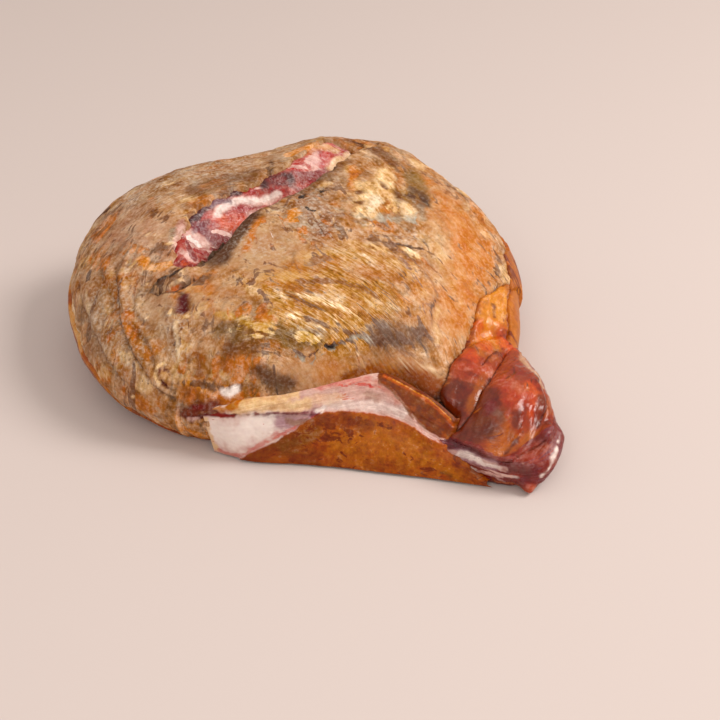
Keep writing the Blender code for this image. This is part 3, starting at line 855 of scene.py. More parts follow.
# the dried crust of the flesh side
crust = dict(
    cells=308, lowestTilt=0.93,
    # unevenness everywhere: height, size, octaves, shift
    flesh=((1.5, 46.0, 2, 0.0), (0.8, 13.0, 3, 3.0), (0.3, 4.2, 2, 9.0)),
    # rolls and threads of flesh: their size across the fibres, along them and upwards, and their height
    rolls=(15.0, 52.0, 60.0), smallRolls=(5.5, 22.0, 40.0), threads=(3.2, 30.0, 40.0),
    rollHeight=2.8, smallRollHeight=0.6, threadHeight=0.55,
    # how far it sinks under the rind and the skin, and under the opening's meat
    hiddenDrop=4.5, openingDrop=9, floorGap=0.4,
    # x from which painted shade darkens it beside the shank's skin, and y up to which
    skinShade=(118, 20),
    grooves=(
        (5, 5, folds["outer"]),
        (4, 6, folds["lower"]),
        (2.5, 3.5, folds["inner"]),
        (3, 7, ((-148, -57, 79), (-127, -78, 78), (-115, -90, 75))),
        (5, 6, ((-79, -84), (-80, -75), (-76, -68), (-70, -58), (-64, -50))),
        (3.5, 4, ((-80, -82), (-72, -81), (-62, -76), (-58, -66))),
        (3, 3, folds["torn"]),
        (2, 2.5, ((-47, -127, 59), (-41, -128, 57))),
        (1.5, 3, ((38, 30), (50, 38), (62, 48), (75, 60))),
        (3, 3, ((-78, 74), (-74, 70), (-72, 64))),
        (1.2, 3, ((3, -38), (20, -18), (36, 0), (53, 21))),
        (2.5, 5, ((88, 32), (94, 24), (99, 12), (106, -4))),
        (1.4, 3, ((-7, -98), (9, -100), (32, -91), (44, -84), (55, -67), (69, -49))),
        (2, 5, ((97, -43, 52), (108, -34, 54), (118, -24, 52))),
    ),
    lumps=(
        (1.0, 2.0, ((-52, -103), (-44, -113, 75), (-38, -121, 66), (-29, -126, 57), (-18, -126, 50),
                    (-7, -125, 45))),
        (2.0, 8, ((5, 100), (15, 85), (20, 70))),
        (1.6, 5, ((34, 34), (48, 44), (60, 54), (72, 66))),
        (2.2, 9, ((-12, -106), (8, -104), (26, -100))),
        (1.5, 6, ((-70, -62), (-74, -74))),
    ),
    pits=(
        (4, 5, (-52, -90)), (2.5, 3, (14, 92)), (2, 2.5, (8, 104)), (2, 2.5, (19, 82)), (2, 2, (12, 74)),
        (1.5, 2, (24, 66)), (2, 2, (-20, 52)), (1.6, 2, (-32, 40)), (2, 2, (55, -68)),
    ),
    steps=(
        (3.2, 10, folds["outer"]),
        (2.4, 9, folds["lower"]),
        (1.6, 6, folds["inner"]),
        (2.0, 10, folds["left"]),
        (2.6, 8, folds["corner"]),
        (1.6, 8, folds["high"]),
        (1.4, 7, folds["short"]),
        (1.5, 6, ((105, -1), (98, 8), (94, 26), (84, 31), (71, 33), (62, 36), (48, 38))),
        (1.6, 7, ((74, 56), (62, 48), (50, 38), (34, 28))),
        (1.5, 6, ((-6, -12), (4, -30), (-4, -56), (-14, -70))),
        (1.4, 6, ((-130, 60), (-100, 90), (-70, 120))),
    ),
    fibres=(
        (1.0, 20, ((13, -47), (40, -32), (70, -22))),
        (1.0, 18, ((31, -70), (60, -50))),
        (0.7, 10, ((0, -92), (32, -88))),
        (0.9, 14, ((30, 0), (60, 16))),
        (0.5, 30, ((-150, 10), (-100, 60), (-60, 120))),
        (0.3, 22, ((0, 110), (16, 70))),
    ),
    calm=(
        (0.95, 10, ((88, -52, 56), (104, -42, 52), (120, -34, 46))),
        (0.6, 12, ((36, -98, 62), (60, -80, 58), (84, -62, 56), (104, -44, 55))),
        (0.65, 22, ((-44, -30), (-18, -24), (-4, -34))),
        (0.4, 26, ((76, 96), (92, 74), (100, 48), (108, 20))),
        (0.5, 20, ((40, 120), (70, 105))),
        (0.5, 16, ((-66, -92), (-50, -76), (-30, -84))),
        (0.4, 16, ((-140, -34), (-120, -30))),
    ),
    wet=(
        (0.5, 12, ((105, 60), (112, 30), (110, 0))),
        (0.9, 6, ((90, -58, 56), (112, -48, 48), (134, -46, 38))),
        (0.8, 5, ((-26, -135, 34), (-14, -131, 37))),
        (0.4, 12, ((-30, -120, 58), (30, -104, 58), (70, -80, 56))),
    ),
    bloom=(
        (1.0, 16, ((-20, 40), (-8, 26), (4, 12))),
        (0.9, 14, ((-40, -20), (-20, -20))),
        (0.8, 20, ((-160, 20), (-110, 70))),
        (0.9, 9, ((28, 36), (45, 50), (58, 62))),
        (0.8, 20, ((-120, -80, 70), (-80, -120, 60))),
        (0.9, 8, ((-52, -100), (-40, -116, 70))),
    ),
    base="tan", fleck="umber", share=0.28,
    groundTones=(
        ("greyTan", 30.0, 0.2, 0.7, 1.0), ("orange", 22.0, 0.12, 0.7, 2.0), ("umber", 14.0, 0.0, 0.5, 3.0),
        ("cream", 16.0, 0.05, 0.6, 4.0), ("brown", 12.0, 0.05, 0.5, 61.0),
        ("darkUmber", 9.0, -0.15, 0.6, 62.0),
    ),
    figureTones=(
        ("orange", 18.0, 0.1, 0.8, 5.0), ("cream", 14.0, -0.02, 0.9, 6.0), ("greyTan", 12.0, -0.05, 0.8, 7.0),
        ("darkUmber", 15.0, -0.1, 0.8, 8.0),
    ),
    grounds=(
        ("pinkTan", 30, 0.5, ((-150, -20), (-120, -50), (-90, -60))),
        ("greyTan", 34, 0.6, ((-150, 20), (-110, 60), (-60, 110))),
        ("brown", 18, 0.45, ((-160, 40), (-130, 90), (-90, 130), (-50, 150))),
        ("darkUmber", 9, 0.5, ((-112, 22), (-102, 34), (-92, 48), (-84, 62))),
        ("pinkTan", 26, 0.6, ((-146, -26), (-126, -34), (-104, -36))),
        ("greyTan", 14, 0.7, ((-148, -74, 76), (-132, -98, 64), (-112, -116, 52))),
        ("greyTan", 16, 0.6, ((-88, -84), (-70, -98), (-58, -108))),
        ("beige", 22, 0.9, ((-44, -32), (-20, -26), (-8, -36))),
        ("beige", 14, 0.7, ((-34, 4), (-18, 4), (-6, -6))),
        ("mauve", 14, 0.5, ((-28, 42), (-12, 30), (2, 14))),
        ("mouldGrey", 8, 0.5, ((-24, 20), (-14, 12), (-6, 18))),
        ("gold", 20, 0.95, ((6, -50), (36, -32), (66, -20))),
        ("gold", 18, 0.95, ((22, -72), (44, -62), (66, -50))),
        ("gold", 13, 0.9, ((18, -18), (44, 6), (62, 16))),
        ("rust", 10, 0.6, ((46, -8), (60, 2), (70, 8))),
        ("rust", 7, 0.6, ((2, -34), (14, -28), (30, -14))),
        ("rust", 6, 0.6, ((0, -56), (14, -52), (28, -46))),
        ("olive", 9, 0.8, ((22, -84), (34, -79), (46, -71))),
        ("peach", 30, 0.9, ((70, 96), (92, 76), (102, 50), (100, 32))),
        ("beige", 16, 0.6, ((52, 92), (68, 72), (84, 48), (96, 22))),
        ("orange", 14, 0.5, ((96, 66), (104, 48), (108, 30))),
        ("peach", 22, 0.8, ((96, 20), (108, 6), (112, -8))),
        ("beige", 12, 0.5, ((98, 10), (106, -6), (112, -18))),
        ("orange", 14, 0.5, ((88, 92), (102, 74), (112, 56))),
        ("orange", 22, 0.35, ((30, 120), (60, 112), (90, 100, 72))),
        ("cream", 8, 0.5, ((62, 66), (76, 62), (86, 56))),
        ("tan", 15, 0.9, ((30, -98, 64), (50, -84, 62), (72, -64, 57), (96, -46, 54))),
        ("peach", 10, 0.6, ((56, -80, 60), (70, -66, 58), (90, -50, 54), (104, -40, 54))),
    ),
    solids=(
        ("darkMauve", 11, 0.8, ((83, -38), (94, -28), (105, -15))),
        ("darkMauve", 7, 0.6, ((76, -40), (84, -36))),
        ("darkUmber", 5, 0.8, ((36, 100), (42, 103), (48, 99))),
        ("olive", 9, 0.8, ((24, 124), (34, 114), (38, 104), (30, 94))),
        ("umber", 8, 0.6, ((34, 112), (38, 104), (44, 94))),
        ("umber", 6, 0.8, ((-38, 116), (-28, 128), (-12, 132), (6, 126))),
        # painted shade down the opening's near wall, and along its lip further on
        ("umber", 10, 0.85, ((-54, -46), (-56, -28), (-60, -10), (-60, 8), (-50, 28))),
        ("umber", 4, 0.8, ((-42, 36), (-34, 52), (-26, 76), (-22, 104))),
        ("beige", 3, 0.8, ((-48, -34), (-50, -20), (-53, -6))),
        ("umber", 5, 0.6, ((-117, 24), (-111, 36), (-104, 48), (-94, 50))),
        ("orange", 3, 0.5, ((-112, 30), (-106, 42))),
        ("umber", 4, 0.8, ((-98, 42), (-90, 50), (-82, 56))),
        ("mouldGrey", 3, 0.7, ((-102, -26), (-98, -36))),
        ("cream", 9, 0.7, ((6, 108), (14, 94), (18, 82))),
        ("cream", 10, 0.8, ((6, 80), (14, 70), (18, 58))),
        ("mouldGrey", 4, 0.7, ((16, 50), (28, 56), (40, 66))),
        ("mouldGrey", 4, 0.6, ((47, 92), (52, 84))),
        ("orange", 3.5, 0.8, ((-16, 100), (-10, 88), (-4, 74))),
        ("darkOlive", 8, 0.8, ((-16, -99, 85), (-8, -94, 88), (-4, -100, 82))),
        ("brightGold", 3, 0.7, ((-22, -90), (-10, -88), (4, -88))),
        ("darkOlive", 7, 0.6, ((8, -92), (24, -84), (36, -80), (46, -72))),
        ("umber", 7, 0.7, ((-6, -106), (2, -103), (10, -99))),
        ("rust", 5, 0.7, ((74, -58, 56), (86, -50, 55), (93, -46, 54))),
        ("orange", 6, 0.7, ((-30, -132, 45), (-18, -128, 44), (-6, -124, 46))),
        ("paleOrange", 3, 0.9, ((-30, -128, 54), (-16, -124, 52), (-4, -120, 52), (8, -116, 52))),
        ("orange", 1.6, 0.9, ((-8, -122, 50), (2, -120, 48), (12, -116, 48))),
        ("darkUmber", 1.5, 0.8, ((-12, -131, 34), (-12, -131, 27))),
        # dark lines along these folds are painted shade in their creases
        ("umber", 1.3, 0.7, folds["left"]),
        ("umber", 1.2, 0.6, folds["high"]),
        ("umber", 1.1, 0.5, folds["short"]),
        ("paleCream", 2, 0.6, ((-143, -82, 65), (-120, -107, 56), (-100, -121, 51))),
        ("purple", 4, 0.9, ((-55, -85), (-52, -93))),
        ("cream", 1.2, 0.4, ((-38, -121, 66), (-29, -126, 57), (-18, -126, 50))),
        ("mauve", 2.2, 0.6, ((48, 38), (62, 36), (71, 33), (84, 31), (94, 26), (98, 8), (105, -1))),
        ("darkMauve", 0.8, 0.6, ((62, 36), (71, 33), (84, 31), (94, 26), (98, 8), (105, -1))),
        # dark line along a step and groove: painted shade in the crease
        ("umber", 1.3, 0.9, ((34, 28), (50, 38), (62, 48), (74, 56))),
        ("tan", 4, 0.6, ((92, 22), (100, 8), (108, -6), (112, -20))),
        ("cream", 2, 0.6, ((100, 14), (106, 2), (112, -10))),
    ),
    # patches first, then lines
    strokes=(
        ("orange", 8, 0.7, ((-169, -15, 87), (-171, -24, 80))),
        ("orange", 6, 0.8, ((-136, -50), (-124, -52), (-114, -50))),
        ("paleOrange", 5, 0.8, ((-106, -58), (-94, -62), (-84, -58))),
        ("orange", 8, 0.7, ((-92, -104, 72), (-84, -113, 67))),
        ("orange", 7, 0.7, ((-160, -52, 78), (-150, -58, 78), (-140, -62, 79))),
        ("orange", 8, 0.75, ((-12, -84), (-4, -82), (4, -78))),
        ("orange", 5, 0.8, ((10, -78), (16, -84))),
        ("orange", 4, 0.85, ((-14, 98), (-8, 86), (-4, 74))),
        ("orange", 4, 0.7, ((-36, -28), (-40, -14), (-42, 2))),
        ("paleOrange", 5, 0.8, ((-26, 26), (-20, 16))),
        ("orange", 5, 0.7, ((-8, 8), (-4, -2))),
        ("brown", 9, 0.6, ((-95, -20), (-100, 10), (-104, 40))),
        ("umber", 7, 0.8, ((-34, 122), (-20, 130), (-4, 130), (10, 122))),
        ("umber", 5, 0.6, ((-126, -10), (-118, -16))),
        ("umber", 4, 0.7, ((-100, -30), (-94, -36))),
        ("darkUmber", 6, 0.95, ((35, 101), (42, 103), (48, 98))),
        ("umber", 5, 0.8, ((22, 96), (30, 90), (34, 84))),
        ("mouldGrey", 7, 0.6, ((47, 92), (52, 84), (50, 76))),
        ("mouldGrey", 6, 0.75, ((16, 50), (28, 56), (38, 64))),
        ("cream", 9, 0.85, ((6, 112), (14, 98), (20, 84))),
        ("cream", 12, 0.9, ((8, 82), (14, 70), (16, 58))),
        ("cream", 8, 0.85, ((30, 78), (38, 84))),
        ("paleCream", 5, 0.8, ((18, 74), (20, 64))),
        ("umber", 2.5, 0.9, ((13, 94), (17, 92))),
        ("umber", 2.5, 0.9, ((3, 72), (6, 74))),
        ("umber", 2, 0.9, ((8, 58), (11, 60))),
        ("umber", 3, 0.8, ((8, 26), (16, 22), (20, 16))),
        ("black", 2, 0.8, ((-32, 42), (-30, 44))),
        ("black", 1.8, 0.8, ((-22, 56), (-20, 56))),
        ("black", 1.6, 0.7, ((-20, 34), (-12, 32))),
        ("black", 1.6, 0.7, ((-28, -4), (-26, -6))),
        ("fat", 3, 0.6, ((-28, -8), (-22, -10))),
        ("umber", 3, 0.6, ((-22, 2), (-14, 4))),
        ("cream", 5, 0.75, ((42, 24), (54, 34), (66, 42))),
        # dark line along the same step: painted shade in the crease
        ("darkUmber", 1.6, 0.9, ((34, 28), (50, 38), (62, 48), (72, 56))),
        ("umber", 5, 0.6, ((36, 32), (46, 32), (54, 34))),
        ("darkMauve", 1.8, 0.5, ((52, 36), (62, 36), (71, 33), (84, 31), (94, 26), (98, 8), (105, -1))),
        ("mauve", 7, 0.6, ((66, 28), (78, 22), (88, 12), (94, 0))),
        ("darkMauve", 11, 0.85, ((82, -38), (93, -29), (105, -15))),
        ("darkMauve", 7, 0.8, ((74, -38), (82, -36))),
        ("cream", 3, 0.55, ((12, -60), (36, -50), (62, -40))),
        ("cream", 2.5, 0.5, ((44, -54), (54, -50), (62, -44))),
        ("cream", 2.5, 0.5, ((40, -64), (52, -60))),
        ("cream", 4, 0.5, ((26, -70), (36, -64))),
        ("brightGold", 4, 0.85, ((36, -78), (46, -72))),
        ("brightGold", 7, 0.7, ((-4, -92), (6, -90), (14, -86))),
        ("brown", 3, 0.75, ((16, -44), (40, -30), (66, -20))),
        ("umber", 2, 0.6, ((16, -58), (34, -56), (44, -52))),
        ("umber", 2, 0.6, ((34, -66), (46, -62), (58, -56), (68, -48))),
        ("brown", 4, 0.75, ((0, -36), (12, -26), (22, -14))),
        ("umber", 9, 0.8, ((-6, -106), (2, -103), (10, -99))),
        ("mouldGrey", 1.7, 0.7, ((40, -86), (46, -83), (52, -75), (58, -65), (65, -54), (74, -46))),
        ("darkMauve", 1.5, 0.8, ((36, -86), (44, -82), (52, -72), (60, -61), (66, -54))),
        ("black", 1.8, 0.95, ((53, -70), (57, -66))),
        ("mauve", 6, 0.6, ((62, -66, 59), (66, -62, 58))),
        ("rust", 6, 0.8, ((76, -58, 56), (86, -50, 55), (92, -46, 54))),
        ("darkMauve", 7, 0.7, ((26, -99, 64), (30, -103, 54), (36, -99, 54))),
        ("orange", 8, 0.85, ((-30, -118, 66), (-14, -114, 66), (2, -108, 68), (16, -102, 68))),
        ("orange", 6, 0.7, ((-34, -122, 62), (-8, -117, 60), (18, -106, 61))),
        ("umber", 3, 0.6, ((-30, -126, 54), (-6, -120, 52), (14, -112, 54))),
        ("orange", 4, 0.7, ((-24, -129, 45), (0, -122, 46), (20, -112, 50))),
        # dark lines along two grooves: painted shade in them
        ("darkUmber", 3, 0.9, ((-79, -84), (-81, -75), (-76, -67), (-70, -58), (-62, -50))),
        ("darkUmber", 3, 0.8, ((-80, -82), (-72, -80), (-62, -76), (-58, -66))),
        ("umber", 6, 0.8, ((-74, -78), (-70, -68))),
        ("hotOrange", 2.4, 0.8, ((-70, -80), (-66, -77))),
        ("umber", 3, 0.6, ((-58, -68), (-40, -60), (-24, -58))),
        ("cream", 2.5, 0.7, ((-58, -96), (-50, -100), (-45, -96))),
        ("paleCream", 1.9, 0.7, ((-52, -103), (-44, -113, 75), (-38, -121, 66))),
        ("darkMauve", 1.4, 0.9, ((-46, -110, 78), (-42, -113, 75), (-43, -116, 72), (-47, -114, 74))),
        ("cream", 2, 0.7, ((-48, -124, 62), (-52, -128, 58), (-48, -134, 50))),
        ("brown", 6, 0.7, ((-30, -116, 66), (-22, -118, 62))),
        ("darkMauve", 3, 0.7, ((-150, -72, 70), (-152, -66, 73))),
        ("greyTan", 8, 0.8, ((-122, -102, 62), (-112, -116, 52))),
        ("paleOrange", 10, 0.8, ((-34, -134, 12), (-18, -131, 8), (-34, -135, 22))),
        ("paleCream", 3, 0.8, ((-164, -77, 50), (-151, -93, 44), (-133, -109, 42))),
        ("paleOrange", 5, 0.8, ((-72, 98), (-64, 110), (-56, 122))),
        ("paleCream", 3, 0.5, ((-110, -36), (-98, -36), (-88, -34))),
        # dark line along a short groove: painted shade in it
        ("umber", 2, 0.9, ((-78, 74), (-74, 70), (-72, 64))),
    ),
    marks=(
        ("wetRust", 5, 1.0, ((90, -50, 52), (98, -46, 50), (106, -42, 48), (113, -38, 47), (120, -36, 46),
                             (126, -37, 44))),
        ("wetRust", 5, 1.0, ((98, -50, 48), (106, -44, 43), (118, -40, 41), (128, -40, 39))),
        ("tan", 6, 0.7, ((94, -36, 56), (104, -31, 55), (114, -25, 53))),
        ("orange", 4, 0.6, ((84, -44, 57), (92, -38, 57))),
        ("wetRust", 4.5, 1.0, ((102, -40, 51), (110, -37, 50), (117, -34, 49), (124, -30, 48))),
        ("skinDark", 3, 0.6, ((106, -45, 42), (117, -41, 40), (127, -41, 38))),
        ("wetRust", 3, 0.9, ((70, -70, 56), (84, -60, 56), (92, -52, 54))),
        # painted highlight on the crust above the wet strip
        ("paleCream", 1.5, 0.75, ((97, -39, 56), (103, -36, 55), (110, -31, 54), (116, -27, 53))),
        # painted shade: black in the pocket where the creases meet
        ("black", 4, 0.95, ((128, -46, 40), (134, -48, 38), (140, -50, 36))),
        ("whiteFat", 3.2, 1.0, ((-2, -120, 50), (2, -119, 51), (6, -117, 53))),
        ("brownRed", 6.5, 1.0, ((-25, -135, 33), (-19, -133, 36), (-13, -130, 38), (-8, -127, 38))),
        ("deepRed", 2.6, 0.8, ((-21, -133, 38), (-15, -131, 39))),
        ("maroon", 2, 0.9, ((-25, -136, 29), (-18, -134, 31), (-10, -129, 33))),
        ("pinkFat", 1.6, 0.8, ((-22, -136, 29), (-17, -135, 30))),
        ("meatFat", 3, 0.8, ((-100, -14), (-98, -24), (-93, -34), (-88, -42))),
        ("darkUmber", 7, 0.9, ((20, -104, 66), (29, -102, 59), (38, -98, 56))),
        ("olive", 7, 0.6, ((22, 130), (30, 119), (33, 108))),
        ("darkUmber", 4, 0.8, ((32, 107), (38, 108), (44, 106))),
        ("umber", 6, 0.3, ((-150, -86, 60), (-128, -104, 58), (-106, -122, 50), (-84, -134, 42))),
        # dark lines along the folds: painted shade in their creases
        ("darkUmber", 1.6, 0.8, folds["outer"]),
        ("umber", 1.8, 0.8, folds["lower"]),
        ("umber", 1.2, 0.6, folds["inner"]),
        ("orange", 4, 0.6, ((-92, -103, 74), (-86, -110, 72), (-75, -119, 66))),
        ("maroon", 4, 0.95, ((-55, -85), (-52, -93))),
        ("paleCream", 1.3, 0.7, ((-52, -103), (-44, -113, 75), (-38, -121, 66))),
        ("maroon", 1.5, 0.95, folds["torn"]),
        ("maroon", 1.2, 0.9, ((-46, -127, 59), (-41, -128, 57))),
        # painted shade: black along the corner fold's crease
        ("black", 1.6, 0.8, folds["corner"]),
        ("darkUmber", 1.3, 0.8, ((-85, -83), (-76, -84), (-66, -80), (-58, -82))),
        # painted shade on the opening's near wall, which faces away from the light: dark brown, darkest at
        # its foot and along its lip
        ("darkUmber", 8, 0.85, ((-52, -42, 101), (-53, -28, 103), (-55, -10, 106), (-57, 8, 107),
                                (-56, 18, 107))),
        ("darkUmber", 8, 0.9, ((-60, -42, 96), (-62, -28, 96), (-65, -10, 95), (-64, 8, 97), (-62, 22, 100))),
        ("nearWallShade", 6, 0.85, ((-66, -40, 91), (-70, -28, 90), (-74, -9, 87), (-72, 8, 89), (-70, 24, 94),
                           (-62, 38, 99))),
        ("darkUmber", 2.5, 0.6, ((-54, 34), (-42, 48), (-32, 66), (-26, 90))),
        ("darkUmber", 5, 1.0, ((-50, -40, 104), (-51, -27, 106), (-50, -15, 109), (-50, -4, 111),
                               (-52, 6, 112), (-53, 16, 113))),
        ("orange", 2.4, 0.7, ((-36, -30), (-40, -16), (-43, -3), (-45, 8))),
        # painted shade along the same short groove
        ("darkUmber", 1.0, 0.9, ((-82, 85), (-74, 76), (-72, 68))),
    ),
)


def fleshRolls(places, fibres, strength, still):
    # long rolls lying along the fibres, and the sharp creases between them
    laid = np.column_stack([fibres, places[:, 2]])
    rolls = cloud(laid / crust["rolls"], 1.0, 3, 21.0)
    smaller = cloud(laid / crust["smallRolls"], 1.0, 3, 23.0)
    patches = smooth(cloud(places, 45.0, 2, 24.0) * 2.2 + 0.6) * (1 - 0.75 * strength) * (1 - 0.9 * still)
    relief = crust["rollHeight"] * np.abs(rolls) + crust["smallRollHeight"] * np.abs(smaller) - 1.0
    creased = np.maximum(np.exp(-((rolls / 0.045) ** 2)), 0.6 * np.exp(-((smaller / 0.06) ** 2)))
    threads = crust["threadHeight"] * (0.12 + strength) * cloud(laid / crust["threads"], 1.0, 2, 11.0)
    return patches * relief + threads, patches * creased


def makeCrust():
    work, sphere = discBall(crust["cells"], crust["lowestTilt"])
    start = ballPlaces(sphere)
    setPlaces(work, start)
    print("crust shaped")
    relieve(work, crust["grooves"], crust["lumps"], crust["pits"], crust["steps"])
    places, normals = placesOf(work), normalsOf(work)
    fibres = fibresAt(places)
    still = zoneMask(places, crust["calm"], 16.0)
    strength = zoneMask(places, crust["fibres"]) * (1 - 0.8 * still)
    relief, lines = fleshRolls(places, fibres, strength, still)
    relief += uneven(places, crust["flesh"])
    hidden = np.maximum(skinShare(places), rindShare(places, -1.0))
    places = places + normals * (relief - crust["hiddenDrop"] * hidden)[:, None]
    places[:, 2] -= crust["openingDrop"] * openingShare(places)
    places[:, 2] = np.maximum(places[:, 2], crust["floorGap"])
    setPlaces(work, places)
    print("crust relief done")
    ground, figure, share = paint(start, wander(start, 0.0), crust)
    # painted shade where it meets the shank's skin in front, and in the creases
    shadeFrom, shadeBehind = crust["skinShade"]
    under = smooth((start[:, 0] - shadeFrom) / 6) * smooth((shadeBehind - start[:, 1]) / 12)
    under *= smooth((skinShare(start) - 0.4) * 4)
    for colour in (ground, figure):
        tint(colour, "skinDark", under)
        colour[:, :3] *= (1 - 0.45 * lines)[:, None]
    painted = ground, figure, share * (1 - 0.6 * still)
    wet, bloom = zoneMask(places, crust["wet"]), zoneMask(places, crust["bloom"], 20.0)
    piece = finishPiece("hamCrust", work, crustMaterial)
    setLook(piece, painted, fibres, fibre=0.12 + 0.88 * strength, wet=wet, bloom=0.25 + 0.75 * bloom,
            lively=1 - still)


makeCrust()


# the rind, underneath and up the sides
rind = dict(
    cells=200, highestTilt=0.48, lie=((1.0, 40.0, 2, 0.0), (0.3, 9.0, 3, 4.0)),
    # how far it stands out, and sinks under the crust and under the shank's skin
    stand=1.6, hiddenDrop=4, skinDrop=3, skinFrom=125,
    base="rind", fleck="rindDark", share=0.35,
    groundTones=(("rindDark", 30.0, 0.2, 0.6, 21.0), ("rindPale", 22.0, 0.1, 0.6, 22.0),
                 ("dull", 40.0, 0.05, 0.5, 23.0)),
)


def makeRind():
    work, sphere = discBall(rind["cells"], rind["highestTilt"], -1)
    setPlaces(work, ballPlaces(sphere))
    places, normals = placesOf(work), normalsOf(work)
    share = rindShare(places)
    push = uneven(places, rind["lie"]) + rind["stand"] * share - rind["hiddenDrop"] * (1 - share)
    push -= rind["skinDrop"] * skinShare(places) * (places[:, 0] > rind["skinFrom"])
    places = places + normals * push[:, None]
    places[:, 2] = np.maximum(places[:, 2], 0.0)
    setPlaces(work, places)
    painted = paint(places, wander(places, 3.0), rind)
    azimuth, _ = polar(places)
    # painted light: more orange on the right side, where the light falls, with a broken pale edge at the back
    tint(painted[0], "orange", 0.7 * smooth((azimuth + 15) / 20) * smooth((70 - azimuth) / 40))
    edge = rindShare(places) * (1 - rindShare(places, -3.0)) * smooth((np.abs(azimuth) - 110) / 30)
    edge *= smooth(0.9 - cloud(places, 30.0, 2, 8.0) * 2)
    for colour in painted[:2]:
        tint(colour, "cream", 0.7 * edge)
    piece = finishPiece("rind", work, rindMaterial)
    setLook(piece, painted, fibresAt(places), fibre=0.1, wet=0.3, bloom=0.3)


makeRind()


